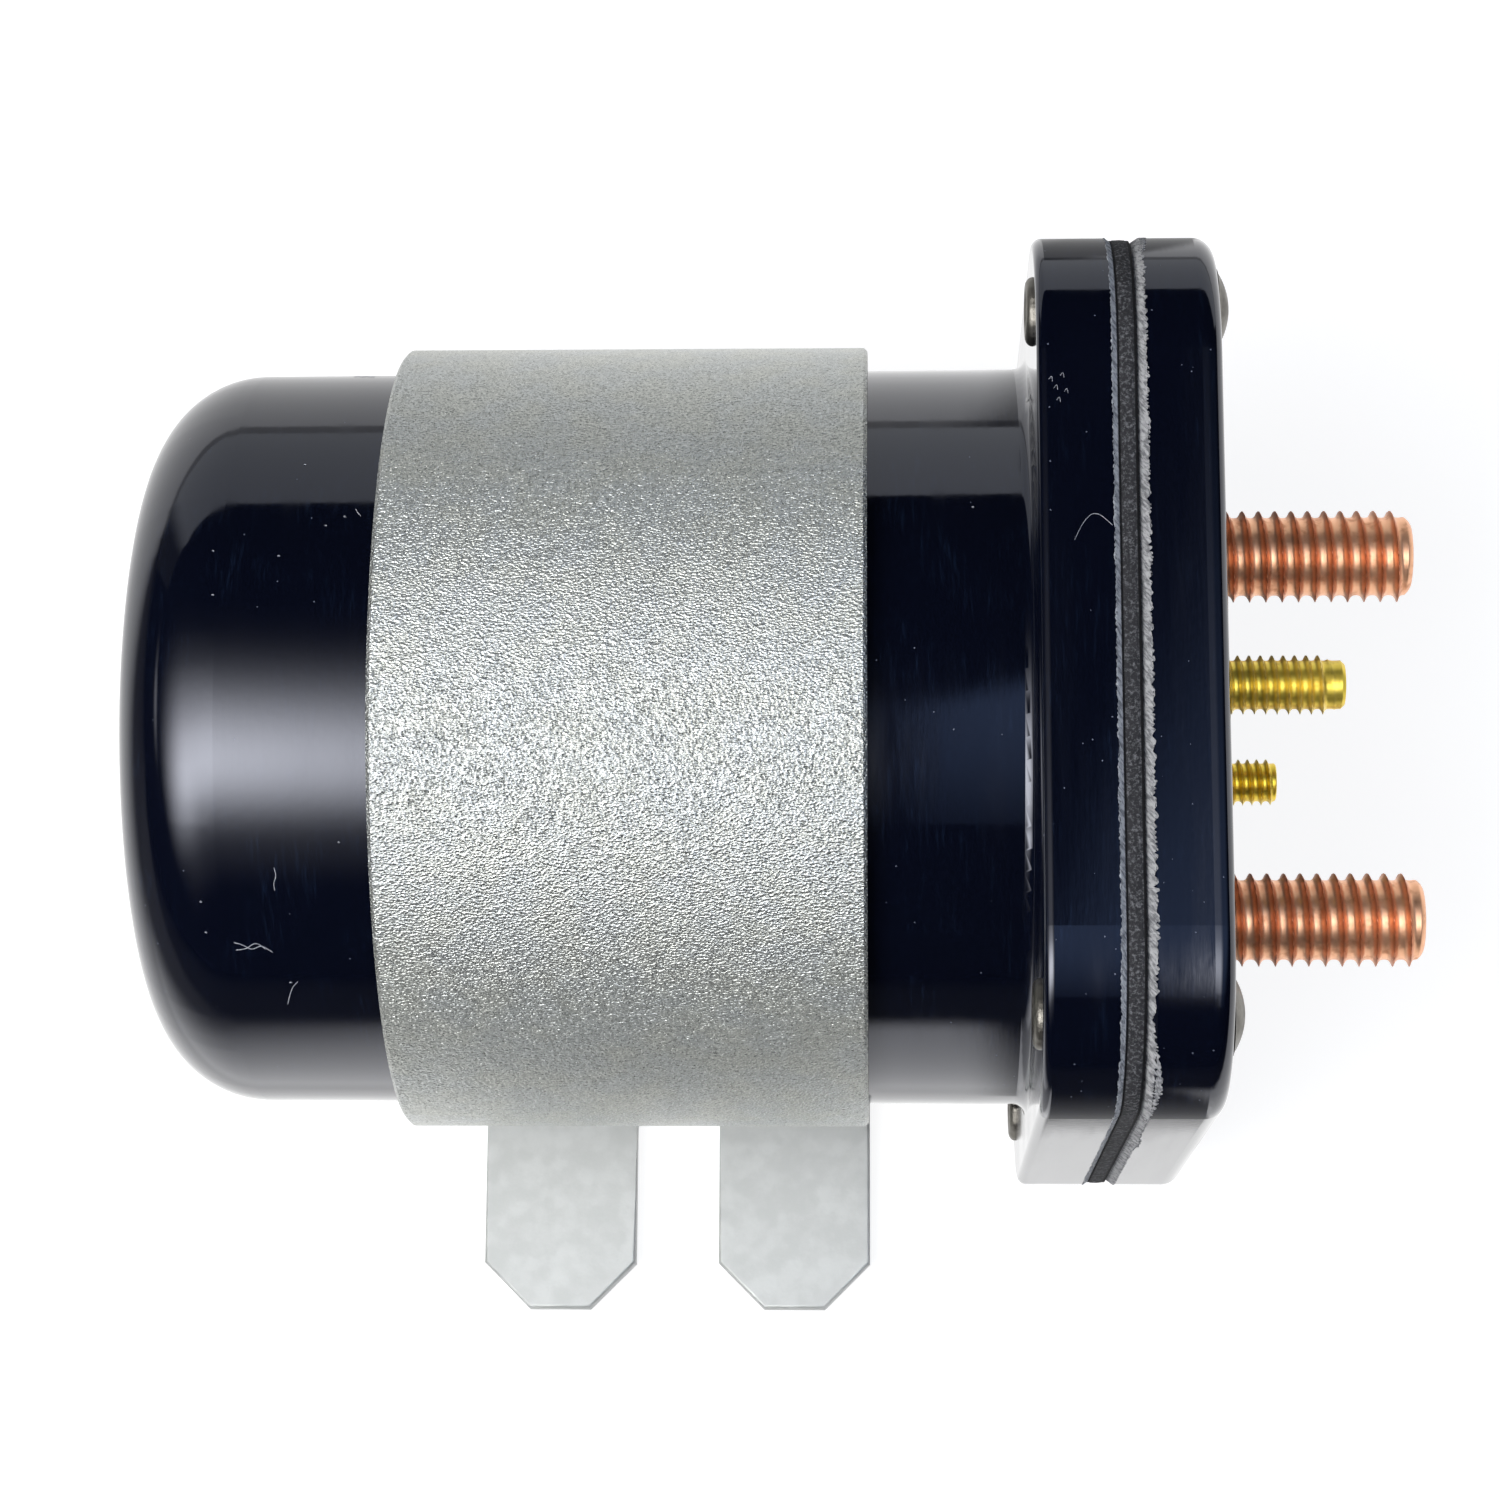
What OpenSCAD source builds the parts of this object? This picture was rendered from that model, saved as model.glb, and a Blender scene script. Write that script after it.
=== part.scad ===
// Solenoid relay: a round moulded can with a square flange, held in a clamp band on a flat
// mounting plate, with two load studs and two coil studs on its terminal cover.
// X runs along the solenoid towards the studs, Z runs up from the mounting plate.
// The origin is on the underside of the mounting plate, below the middle of the clamp band.
// All sizes are in millimetres.

/* [Housing can] */
// Outer radius of the can where it meets the flange
can_r = 31.5; // [29:0.1:36]
// How much the radius shrinks towards the closed end
can_draft = 0.3; // [0:0.05:0.6]
// Wall of the can
can_wall = 3; // [2:0.1:4]
// Outer radius of the rounded closed end
can_end_round = 9; // [8:0.5:18]
// Length of the can beyond the middle of the clamp band, on the closed side
can_tail = 40.8; // [34:0.1:48]
// Fillet where the can meets the flange
can_root_fillet = 1; // [0.4:0.1:2]

/* [Flange and terminal cover] */
// How far the square flange stands out past the can on each side
flange_overhang = 4.4; // [2:0.1:8]
// Corner radius of the flange
flange_corner = 13; // [8:0.5:16]
// Thickness of the can's flange
flange_t = 6.3; // [4:0.1:9]
// Rounding of the flange edge that faces the can
flange_edge_round = 0.8; // [0.3:0.1:1.5]
// Trimmed bevel of the flange at the gasket
flange_bevel = 0.4; // [0.2:0.1:0.8]
// Thickness of the gasket
gasket_t = 1.5; // [1:0.1:3]
// How far the gasket's edge lies inside the flange's
gasket_inset = 0.2; // [0:0.05:0.6]
// Thickness of the terminal cover
cover_t = 6.8; // [5:0.1:9]
// Rounding of the cover's outer edge
cover_edge_round = 1.7; // [0.6:0.1:2.5]
// Trimmed bevel of the cover at the gasket
cover_bevel = 0.8; // [0.3:0.1:1.2]
// Radius of the round boss in the middle of the cover
cover_boss_r = 5; // [3:0.1:7]
// Height of that boss
cover_boss_h = 0.8; // [0.3:0.1:1.5]
// Radius of the pocket inside the cover that the rod's tip moves into
cover_pocket_r = 5.5; // [4.5:0.1:7]
// Depth of that pocket
cover_pocket_depth = 1.5; // [0.5:0.1:2.5]

/* [Rivets] */
// Distance of a rivet's centre from the side of the can
rivet_out = 8.8; // [7:0.1:10]
// Radius of a rivet's shank
rivet_r = 2; // [1.5:0.1:2.4]
// Radius of a rivet's domed head
rivet_head_r = 3.3; // [2.8:0.1:4]
// Height of a rivet's domed head
rivet_head_h = 1.1; // [0.7:0.1:1.8]
// Radius of a rivet's rolled end
rivet_roll_r = 2.8; // [2.6:0.1:3.4]
// Height of a rivet's rolled end
rivet_roll_h = 0.6; // [0.3:0.1:1]
// Radius of the hollow in a rivet's rolled end
rivet_hollow_r = 1.3; // [0.6:0.1:1.3]
// Depth of that hollow
rivet_hollow_depth = 4; // [2:0.5:8]

/* [Clamp band and mounting plate] */
// Width of the clamp band along the can
band_w = 39; // [34:0.5:44]
// Thickness of the clamp band
band_t = 1.9; // [1.2:0.1:3]
// Chamfer of the band's outer edges
band_chamfer = 0.3; // [0.1:0.05:0.6]
// Thickness of the mounting plate
plate_t = 2.5; // [2:0.1:4]
// Half length of the plate's wide middle, across the can
plate_half_y = 28; // [24:0.5:32]
// Half length of the plate with its ears, across the can
ear_half_y = 46.3; // [42:0.1:50]
// Width of the bolt notch between two ears
notch_w = 7.7; // [6:0.1:9]
// How far the ear on the closed side lies inside the band's edge, the other ear being flush
ear_setback = 3.3; // [0:0.1:6]
// Chamfer at the corners of an ear
ear_chamfer = 4.2; // [2:0.1:5]
// Fillet in the plate's inner corners
plate_fillet = 1.2; // [0.5:0.1:2]
// Length of one weld bead along the can
weld_len = 11; // [6:0.5:15]
// Radius of a weld bead
weld_r = 2.4; // [1.8:0.1:3]
// Distance of a weld bead from the middle plane
weld_y = 7; // [6:0.1:9]

/* [Studs] */
// Gap between a load stud's head and the wall of the contact chamber
load_head_gap = 1.7; // [0.5:0.1:3]
// Radius over the thread of a load stud
load_r = 3.97; // [3:0.01:4.2]
// Length of a load stud outside the cover
load_len = 19; // [12:0.5:26]
// Chamfer at a load stud's tip
load_chamfer = 1; // [0.5:0.1:1.5]
// Radius of a load stud's shoulder inside the cover
load_shoulder_r = 4.6; // [4.4:0.1:5.5]
// Radius of a load stud's contact head
load_head_r = 7; // [6:0.1:7.5]
// Thickness of a load stud's contact head
load_head_t = 3.6; // [3:0.1:4.3]
// Distance between the two coil studs
coil_pitch = 37; // [30:0.1:38]
// Radius over the thread of the upper coil stud
upper_r = 2.41; // [1.9:0.01:2.8]
// Length of the upper coil stud outside the cover
upper_len = 10.7; // [7:0.1:14]
// Length of the upper coil stud's reduced tip
upper_tip_len = 1.4; // [0.8:0.1:2]
// Radius of that reduced tip
upper_tip_r = 1.9; // [1.4:0.1:1.9]
// Radius over the thread of the lower coil stud
lower_r = 2.1; // [1.8:0.01:2.8]
// Length of the lower coil stud outside the cover
lower_len = 8.9; // [6:0.1:12]
// Chamfer at the lower coil stud's tip
lower_chamfer = 0.5; // [0.3:0.1:0.8]
// Radius of a coil stud's shoulder inside the cover
coil_shoulder_r = 3; // [2.9:0.1:3.5]
// Radius of a coil stud's head
coil_head_r = 4; // [3.5:0.1:4.5]
// Thickness of a coil stud's head
coil_head_t = 1.5; // [1.2:0.1:2.1]

/* [Magnet] */
// Wall of the drawn steel cup
cup_wall = 1.8; // [1.2:0.1:2.4]
// Thickness of the bumper disc under the plunger
bumper_t = 1; // [0.6:0.1:1.6]
// Radius of the bumper disc
bumper_r = 7; // [5:0.1:8]
// Radius of the steel ring behind the coil
rear_ring_r = 17; // [14:0.1:17.5]
// Length of the coil bobbin
bobbin_len = 49.8; // [40:0.1:52]
// Thickness of a bobbin flange
bobbin_flange_t = 1.6; // [1.2:0.1:2.4]
// Wall of the bobbin's tube
bobbin_wall = 1.2; // [0.8:0.1:1.8]
// How far the winding stays inside the bobbin's flanges
winding_inset = 1.7; // [1:0.1:3]
// Thickness of the tape round the winding
wrap_t = 0.4; // [0.2:0.1:0.8]
// Wall of the brass guide tube
guide_wall = 0.6; // [0.4:0.05:0.9]
// Thickness of the pole plate
pole_t = 3.5; // [2.5:0.1:4]
// Length of the fixed core inside the coil
core_len = 16.1; // [12:0.1:20]
// Radius of the core's staked spigot in the pole plate
core_spigot_r = 6; // [5:0.1:7]

/* [Plunger and rod] */
// Radius of the plunger
plunger_r = 9; // [8:0.1:10]
// How far the plunger travels
stroke = 3.1; // [2.8:0.05:3.6]
// Radius of the spring pocket in the plunger
spring_pocket_r = 4.7; // [4.5:0.1:5.5]
// Depth of the spring pocket
spring_pocket_depth = 10; // [7:0.5:14]
// Radius of the rod
rod_r = 2; // [1.6:0.05:2.2]
// How deep the rod is pressed into the plunger, below the spring pocket
rod_grip = 12; // [8:0.5:14]
// How far the rod reaches past its clip
rod_tip_len = 1.5; // [0.8:0.1:2]
// Chamfer at the rod's tip
rod_chamfer = 0.4; // [0.2:0.1:0.6]
// Depth of the clip's groove in the rod
groove_depth = 0.4; // [0.2:0.05:0.5]
// Radius of the rod's clip
clip_r = 3.6; // [3.2:0.1:4.2]
// Thickness of the rod's clip
clip_t = 0.8; // [0.5:0.1:1]
// Radius of the collar that carries the contact spring
collar_r = 5; // [4.6:0.1:6]
// Thickness of that collar
collar_t = 1; // [0.8:0.1:1.6]
// Wire radius of the return spring
return_wire_r = 0.45; // [0.3:0.05:0.5]
// Turns of the return spring
return_turns = 7; // [5:0.5:8]
// Wire radius of the contact spring
contact_wire_r = 0.4; // [0.25:0.05:0.45]
// Turns of the contact spring
contact_turns = 3.5; // [3:0.5:4]

/* [Moving contact] */
// Gap between the open contacts
contact_gap = 2.4; // [2:0.05:2.7]
// Width of the contact bar
bar_w = 14; // [11:0.5:16]
// Thickness of the contact bar
bar_t = 2.5; // [1.5:0.1:3]
// Radius of a contact tip on the bar
tip_r = 4.5; // [3:0.1:5]
// Height of a contact tip above the bar
tip_t = 0.6; // [0.4:0.1:1]
// Radius of the insulating bush's sleeve
bush_r = 3.5; // [3.2:0.1:4]
// Radius of the bush's flange
bush_flange_r = 5.5; // [5:0.1:6.5]
// Thickness of the bush's flange
bush_flange_t = 1.2; // [0.8:0.1:1.8]
// How far the bush's sleeve stands in front of the bar
bush_front_len = 0.9; // [0.5:0.1:1.2]

/* [Contact chamber] */
// Length of the chamber between the insulating disc and the cover
chamber_len = 17.8; // [16.5:0.1:24]
// Thickness of the insulating disc
disc_t = 1.2; // [0.8:0.1:1.8]
// Wall of the chamber liner
liner_wall = 3.6; // [3:0.1:4.5]
// Wall left behind the liner's guide slots
liner_web = 1.6; // [1.2:0.1:1.8]
// Radius of a coil lead
lead_r = 0.6; // [0.4:0.05:0.8]
// How deep below the winding's surface a coil lead comes out
lead_depth = 3.1; // [2.6:0.1:5]

/* [Clearances] */
// Gap between stacked pieces that don't move
seat_gap = 0.05; // [0.02:0.01:0.1]
// Radial gap of a sliding fit
slide_gap = 0.08; // [0.04:0.01:0.1]
// Gap round pieces that are dropped into a bore
drop_gap = 0.2; // [0.1:0.05:0.3]
// Gap left round parts that move past each other
free_gap = 0.4; // [0.3:0.05:0.6]

/* [Hidden] */
$fn = 96;

// Cut depth that carries a hole past a face
past = 1;

// Flange and rivets, set out from the can
flange_side = 2 * (can_r + flange_overhang);
rivet_pitch = sqrt(2) * (can_r + rivet_out);

// Can and cup radii
can_bore_r = can_r - can_wall;
can_end_r = can_r - can_draft;
can_bore_round = can_end_round - can_wall;
cup_r = can_bore_r - drop_gap;
cup_round = can_bore_round - drop_gap;
cup_bore_r = cup_r - cup_wall;
cup_bore_round = cup_round - cup_wall;

// Magnet stack, along X from the closed end
can_end_x = -can_tail;
cup_floor_x = can_end_x + can_wall + seat_gap + cup_wall;
plunger_back_x = cup_floor_x + seat_gap + bumper_t + drop_gap;
bobbin_x = cup_floor_x + cup_bore_round + seat_gap;
bobbin_end_x = bobbin_x + bobbin_len;
pole_x = bobbin_end_x + 2 * seat_gap;
pole_end_x = pole_x + pole_t;
disc_x = pole_end_x + seat_gap;
liner_x = disc_x + disc_t + seat_gap;
cover_in_x = liner_x + chamber_len;
liner_len = chamber_len - seat_gap;
core_face_x = pole_x - core_len;
guide_bore_r = plunger_r + slide_gap;
guide_r = guide_bore_r + guide_wall;
bobbin_bore_r = guide_r + seat_gap;
bobbin_tube_r = bobbin_bore_r + bobbin_wall;
bobbin_r = cup_bore_r - drop_gap;
winding_r = bobbin_r - winding_inset;
lead_out_r = winding_r - lead_depth;
stack_r = can_bore_r - drop_gap;

// Can, flange and cover round the stack
flange_seat_x = cover_in_x - gasket_t;
flange_back_x = flange_seat_x - flange_t;
cover_out_x = cover_in_x + cover_t;
can_len = flange_seat_x - can_end_x;

// Band radii and the height of the axis above the plate's underside
can_taper_len = can_len - flange_t / 2;
can_r_at_band = can_end_r + can_draft * (can_tail + band_w / 2 - can_end_round) / (can_taper_len - can_end_round);
band_bore_r = can_r_at_band + seat_gap;
band_r = band_bore_r + band_t;
axis_h = plate_t + seat_gap + band_r;

// Ears and the notch between them
ear_w = (band_w - notch_w - ear_setback) / 2;
ear_pitch = notch_w + ear_w;
notch_x = band_w / 2 - ear_w - notch_w / 2;

// Plunger
plunger_x = core_face_x - stroke - drop_gap;
pocket_floor_x = plunger_x - spring_pocket_depth;

// Moving contact, set back from the load studs' heads
contact_face_x = cover_in_x - load_head_t;
tip_face_x = contact_face_x - contact_gap;
bar_front_x = tip_face_x - tip_t;
bar_back_x = bar_front_x - bar_t;
bush_back_x = bar_back_x - bush_flange_t;
bush_front_x = bar_front_x + bush_front_len;
clip_x = bush_front_x + seat_gap;
rod_end_x = clip_x + clip_t + rod_tip_len;
collar_x = liner_x + free_gap;
contact_spring_x = collar_x + collar_t + seat_gap;
contact_spring_len = bush_back_x - seat_gap - contact_spring_x;
return_spring_len = core_face_x - pocket_floor_x - 2 * seat_gap;
spring_mean_r = (spring_pocket_r + rod_r) / 2;
contact_spring_mean_r = rod_r + free_gap + 2 * contact_wire_r;
spring_sides = 8;
spring_steps = 16;

// Chamber, with the studs' heads and the bar set out from its wall
liner_bore_r = stack_r - liner_wall;
slot_floor_r = stack_r - liner_web;
slot_w = bar_w + 2 * free_gap;
bar_len = 2 * sqrt(pow(slot_floor_r - free_gap, 2) - pow(bar_w / 2, 2));
load_pitch = 2 * (liner_bore_r - load_head_gap - load_head_r);

// Turns a shape that stands on Z so that it lies along X, with its foot at x
module on_axis(x) {
    translate([x, 0, axis_h]) rotate([0, 90, 0]) children();
}

// A ring or washer along X
module tube(x, length, outer_r, inner_r) {
    on_axis(x) difference() {
        cylinder(h = length, r = outer_r);
        translate([0, 0, -past]) cylinder(h = length + 2 * past, r = inner_r);
    }
}

// Repeats a shape at the four rivets
module at_rivets() {
    for (y = [-1, 1], z = [-1, 1])
        translate([0, y * rivet_pitch / 2, axis_h + z * rivet_pitch / 2]) rotate([0, 90, 0]) children();
}

// Repeats a shape at the two load studs
module at_load_studs() {
    for (y = [-1, 1]) translate([0, y * load_pitch / 2, axis_h]) rotate([0, 90, 0]) children();
}

// Repeats a shape at the two coil studs
module at_coil_studs() {
    for (z = [-1, 1]) translate([0, 0, axis_h + z * coil_pitch / 2]) rotate([0, 90, 0]) children();
}

// Half section of a cup with a rounded end: radius across, length up, closed end at the foot
module cup_section(end_r, mouth_r, length, end_round) {
    square([end_r - end_round, length]);
    translate([end_r - end_round, end_round]) circle(r = end_round);
    polygon([[0, end_round], [end_r, end_round], [mouth_r, length], [0, length]]);
}

// Right half of a plane, which keeps a section on one side of its axis
module right_half(reach) {
    translate([0, -reach]) square([reach, 3 * reach]);
}

// Section of a flange edge: beveled at its foot, rounded at its top
module edge_section(reach, thickness, top_round, foot_bevel) {
    difference() {
        square([reach, thickness]);
        polygon([[reach - foot_bevel, 0], [reach, -past], [reach + past, 0], [reach + past, foot_bevel],
                 [reach, foot_bevel]]);
        translate([reach - top_round, thickness - top_round]) difference() {
            square(top_round + past);
            circle(r = top_round);
        }
    }
}

// Square slab with round corners, a beveled foot and a rounded top edge
module flange_slab(thickness, top_round, foot_bevel) {
    flat = flange_side - 2 * flange_corner;
    translate([-flat / 2, -flat / 2, 0]) cube([flat, flat, thickness]);
    for (turn = [0:90:270]) rotate(turn) translate([flat / 2, flat / 2, 0]) {
        rotate_extrude(angle = 90) edge_section(flange_corner, thickness, top_round, foot_bevel);
        rotate([90, 0, 0]) linear_extrude(flat) edge_section(flange_corner, thickness, top_round, foot_bevel);
    }
}

// Outline of the gasket
module gasket_outline() {
    flat = flange_side - 2 * flange_corner;
    side = flange_side - 2 * gasket_inset;
    square([side, flat], center = true);
    square([flat, side], center = true);
    for (x = [-1, 1], y = [-1, 1])
        translate([x * flat / 2, y * flat / 2]) circle(r = flange_corner - gasket_inset);
}

// The moulded can with its flange, bored to take the magnet
module housing_can() {
    color([0.03, 0.04, 0.09]) difference() {
        union() {
            on_axis(can_end_x) rotate_extrude() intersection() {
                cup_section(can_end_r, can_r, can_taper_len, can_end_round);
                right_half(can_len);
            }
            on_axis(flange_back_x - can_root_fillet) rotate_extrude() can_root_section();
            translate([flange_seat_x, 0, axis_h]) rotate([0, -90, 0])
                flange_slab(flange_t, flange_edge_round, flange_bevel);
        }
        on_axis(can_end_x + can_wall) rotate_extrude() intersection() {
            cup_section(can_bore_r, can_bore_r, can_len, can_bore_round);
            right_half(can_len);
        }
        translate([flange_back_x - past, 0, 0]) at_rivets()
            cylinder(h = flange_t + 2 * past, r = rivet_r + seat_gap);
    }
}

// Section of the fillet between can and flange
module can_root_section() {
    foot_r = can_r - can_wall / 2;
    reach = can_r + can_root_fillet - foot_r;
    translate([foot_r, 0]) difference() {
        square([reach, 2 * can_root_fillet]);
        translate([reach, 0]) circle(r = can_root_fillet);
    }
}

// Gasket between the flange and the cover
module flange_gasket() {
    color([0.27, 0.27, 0.28]) difference() {
        on_axis(flange_seat_x) linear_extrude(gasket_t) gasket_outline();
        on_axis(flange_seat_x - past) cylinder(h = gasket_t + 2 * past, r = can_bore_r);
        translate([flange_seat_x - past, 0, 0]) at_rivets()
            cylinder(h = gasket_t + 2 * past, r = rivet_r + seat_gap);
    }
}

// Moulded cover that holds the four studs
module terminal_cover() {
    color([0.03, 0.04, 0.09]) difference() {
        union() {
            on_axis(cover_in_x) flange_slab(cover_t, cover_edge_round, cover_bevel);
            on_axis(cover_out_x - past) cylinder(h = cover_boss_h + past, r = cover_boss_r);
        }
        on_axis(cover_in_x - past) cylinder(h = cover_pocket_depth + past, r = cover_pocket_r);
        translate([cover_in_x - past, 0, 0]) {
            at_rivets() cylinder(h = cover_t + 2 * past, r = rivet_r + seat_gap);
            at_load_studs() cylinder(h = cover_t + 2 * past, r = load_shoulder_r + seat_gap);
            at_coil_studs() cylinder(h = cover_t + 2 * past, r = coil_shoulder_r + seat_gap);
        }
    }
}

// Four hollow rivets: domed heads on the cover, rolled ends on the flange
module flange_rivets() {
    grip = cover_out_x - flange_back_x;
    dome_r = (pow(rivet_head_r, 2) + pow(rivet_head_h, 2)) / (2 * rivet_head_h);
    color([0.55, 0.54, 0.5]) translate([flange_back_x, 0, 0]) at_rivets() difference() {
        union() {
            cylinder(h = grip + rivet_head_h / 2, r = rivet_r);
            translate([0, 0, -rivet_roll_h]) cylinder(h = rivet_roll_h, r = rivet_roll_r);
            intersection() {
                translate([0, 0, grip]) cylinder(h = rivet_head_h, r = rivet_head_r);
                translate([0, 0, grip + rivet_head_h - dome_r]) sphere(r = dome_r);
            }
        }
        translate([0, 0, -rivet_roll_h - past]) cylinder(h = rivet_hollow_depth + past, r = rivet_hollow_r);
    }
}

// Steel band round the can
module clamp_band() {
    color([0.66, 0.68, 0.66]) on_axis(-band_w / 2) rotate_extrude() polygon([
        [band_bore_r, 0], [band_r - band_chamfer, 0], [band_r, band_chamfer],
        [band_r, band_w - band_chamfer], [band_r - band_chamfer, band_w], [band_bore_r, band_w]
    ]);
}

// One ear, from the plate's wide middle to its chamfered end
module ear_outline(x) {
    translate([x - ear_w / 2, 0]) polygon([
        [0, 0], [ear_w, 0], [ear_w, ear_half_y - ear_chamfer], [ear_w - ear_chamfer, ear_half_y],
        [ear_chamfer, ear_half_y], [0, ear_half_y - ear_chamfer]
    ]);
}

// Fills an inner corner with a fillet that opens towards +X and +Y
module corner_fillet(r) {
    difference() {
        translate([-r, -r]) square(2 * r);
        translate([r, r]) circle(r = r);
        translate([r, -past]) square(2 * r);
        translate([-past, r]) square(2 * r);
    }
}

// Flat plate with two forked ends, whose notches take the mounting bolts
module mounting_plate() {
    color([0.72, 0.74, 0.74]) linear_extrude(plate_t)
        for (side = [0, 1]) mirror([0, side]) {
            translate([-band_w / 2, 0]) square([band_w, plate_half_y]);
            ear_outline(notch_x - ear_pitch / 2);
            ear_outline(notch_x + ear_pitch / 2);
            for (flip = [0, 1]) translate([notch_x, plate_half_y]) mirror([flip, 0])
                translate([-notch_w / 2, 0]) corner_fillet(plate_fillet);
            translate([notch_x - ear_pitch / 2 - ear_w / 2, plate_half_y]) mirror([1, 0])
                corner_fillet(plate_fillet);
        }
}

// Four weld beads between the band and the plate
module weld_beads() {
    bead_x = band_w / 2 - weld_len;
    color([0.45, 0.45, 0.45]) for (x = [-1, 1], y = [0, 1])
        translate([x > 0 ? bead_x : -band_w / 2, 0, plate_t]) mirror([0, y, 0])
            rotate([90, 0, 90]) linear_extrude(weld_len) difference() {
                translate([weld_y, 0]) circle(r = weld_r);
                translate([0, -band_r]) square([2 * band_r, band_r]);
                translate([0, seat_gap + band_r]) circle(r = band_r, $fn = 720);
            }
}

// Stud along X: contact head inside, shoulder in the cover, threaded shank outside
module stud(head_r, head_t, shoulder_r, shank_r, shank_len) {
    translate([0, 0, -head_t]) cylinder(h = head_t, r = head_r);
    cylinder(h = cover_t, r = shoulder_r);
    cylinder(h = cover_t + shank_len, r = shank_r);
}

// Load stud with its chamfered tip, at the back (1) or at the front (-1)
module load_stud(side) {
    shank_len = load_len - load_chamfer;
    color([0.86, 0.52, 0.38]) translate([cover_in_x, side * load_pitch / 2, axis_h]) rotate([0, 90, 0]) {
        stud(load_head_r, load_head_t, load_shoulder_r, load_r, shank_len);
        translate([0, 0, cover_t + shank_len]) cylinder(h = load_chamfer, r1 = load_r, r2 = load_r - load_chamfer);
    }
}

// Load stud at the back
module rear_load_stud() {
    load_stud(1);
}

// Load stud at the front
module front_load_stud() {
    load_stud(-1);
}

// Coil stud away from the mounting plate, with a reduced tip
module upper_coil_stud() {
    color([0.8, 0.64, 0.15]) translate([cover_in_x, 0, axis_h + coil_pitch / 2]) rotate([0, 90, 0]) {
        stud(coil_head_r, coil_head_t, coil_shoulder_r, upper_r, upper_len - upper_tip_len);
        cylinder(h = cover_t + upper_len, r = upper_tip_r);
    }
}

// Coil stud near the mounting plate, thinner and shorter
module lower_coil_stud() {
    shank_len = lower_len - lower_chamfer;
    color([0.8, 0.64, 0.15]) translate([cover_in_x, 0, axis_h - coil_pitch / 2]) rotate([0, 90, 0]) {
        stud(coil_head_r, coil_head_t, coil_shoulder_r, lower_r, shank_len);
        translate([0, 0, cover_t + shank_len])
            cylinder(h = lower_chamfer, r1 = lower_r, r2 = lower_r - lower_chamfer);
    }
}

// Drawn steel cup that lines the can and carries the flux round the coil
module magnet_cup() {
    cup_x = cup_floor_x - cup_wall;
    cup_len = pole_x - seat_gap - cup_x;
    color([0.5, 0.51, 0.53]) on_axis(cup_x) rotate_extrude() difference() {
        intersection() {
            cup_section(cup_r, cup_r, cup_len, cup_round);
            right_half(cup_len);
        }
        translate([0, cup_wall]) cup_section(cup_bore_r, cup_bore_r, cup_len, cup_bore_round);
    }
}

// Soft disc that the plunger rests on
module bumper_disc() {
    color([0.2, 0.2, 0.2]) on_axis(cup_floor_x + seat_gap) cylinder(h = bumper_t, r = bumper_r);
}

// Steel ring that leads the flux from the cup's floor to the plunger
module rear_pole_ring() {
    color([0.5, 0.51, 0.53])
        tube(cup_floor_x + seat_gap, bobbin_x - cup_floor_x - 2 * seat_gap, rear_ring_r, guide_r + seat_gap);
}

// Bobbin with two flanges, notched for the leads
module coil_bobbin() {
    color([0.85, 0.82, 0.72]) difference() {
        on_axis(bobbin_x) rotate_extrude() polygon([
            [bobbin_bore_r, 0], [bobbin_r, 0], [bobbin_r, bobbin_flange_t], [bobbin_tube_r, bobbin_flange_t],
            [bobbin_tube_r, bobbin_len - bobbin_flange_t], [bobbin_r, bobbin_len - bobbin_flange_t],
            [bobbin_r, bobbin_len], [bobbin_bore_r, bobbin_len]
        ]);
        lead_holes(bobbin_end_x - bobbin_flange_t - past, bobbin_flange_t + 2 * past);
    }
}

// Wound copper wire
module coil_winding() {
    color([0.62, 0.3, 0.14])
        tube(bobbin_x + bobbin_flange_t + seat_gap, bobbin_len - 2 * bobbin_flange_t - 2 * seat_gap,
             winding_r, bobbin_tube_r + seat_gap);
}

// Tape round the winding
module winding_wrap() {
    color([0.88, 0.84, 0.6])
        tube(bobbin_x + bobbin_flange_t + seat_gap, bobbin_len - 2 * bobbin_flange_t - 2 * seat_gap,
             winding_r + seat_gap + wrap_t, winding_r + seat_gap);
}

// Thin brass tube that guides the plunger and centres the core
module guide_tube() {
    color([0.78, 0.66, 0.3])
        tube(cup_floor_x + seat_gap, pole_x - cup_floor_x - 2 * seat_gap, guide_r, guide_bore_r);
}

// Steel plate that closes the cup
module pole_plate() {
    color([0.5, 0.51, 0.53]) difference() {
        tube(pole_x, pole_t, stack_r, core_spigot_r + seat_gap);
        lead_holes(pole_x - past, pole_t + 2 * past);
    }
}

// Fixed core, staked into the pole plate and bored for the rod
module fixed_core() {
    color([0.55, 0.56, 0.58]) on_axis(core_face_x) difference() {
        union() {
            cylinder(h = core_len - seat_gap, r = plunger_r);
            cylinder(h = core_len + pole_t, r = core_spigot_r);
        }
        translate([0, 0, -past]) cylinder(h = core_len + pole_t + 2 * past, r = rod_r + slide_gap);
    }
}

// Two holes for the coil's leads
module lead_holes(x, depth) {
    for (z = [-1, 1]) translate([x, 0, axis_h + z * lead_out_r]) rotate([0, 90, 0])
        cylinder(h = depth, r = lead_r + drop_gap);
}

// Insulating disc between the magnet and the contact chamber
module insulating_disc() {
    color([0.55, 0.38, 0.22]) difference() {
        tube(disc_x, disc_t, stack_r, rod_r + free_gap);
        lead_holes(disc_x - past, disc_t + 2 * past);
    }
}

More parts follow.
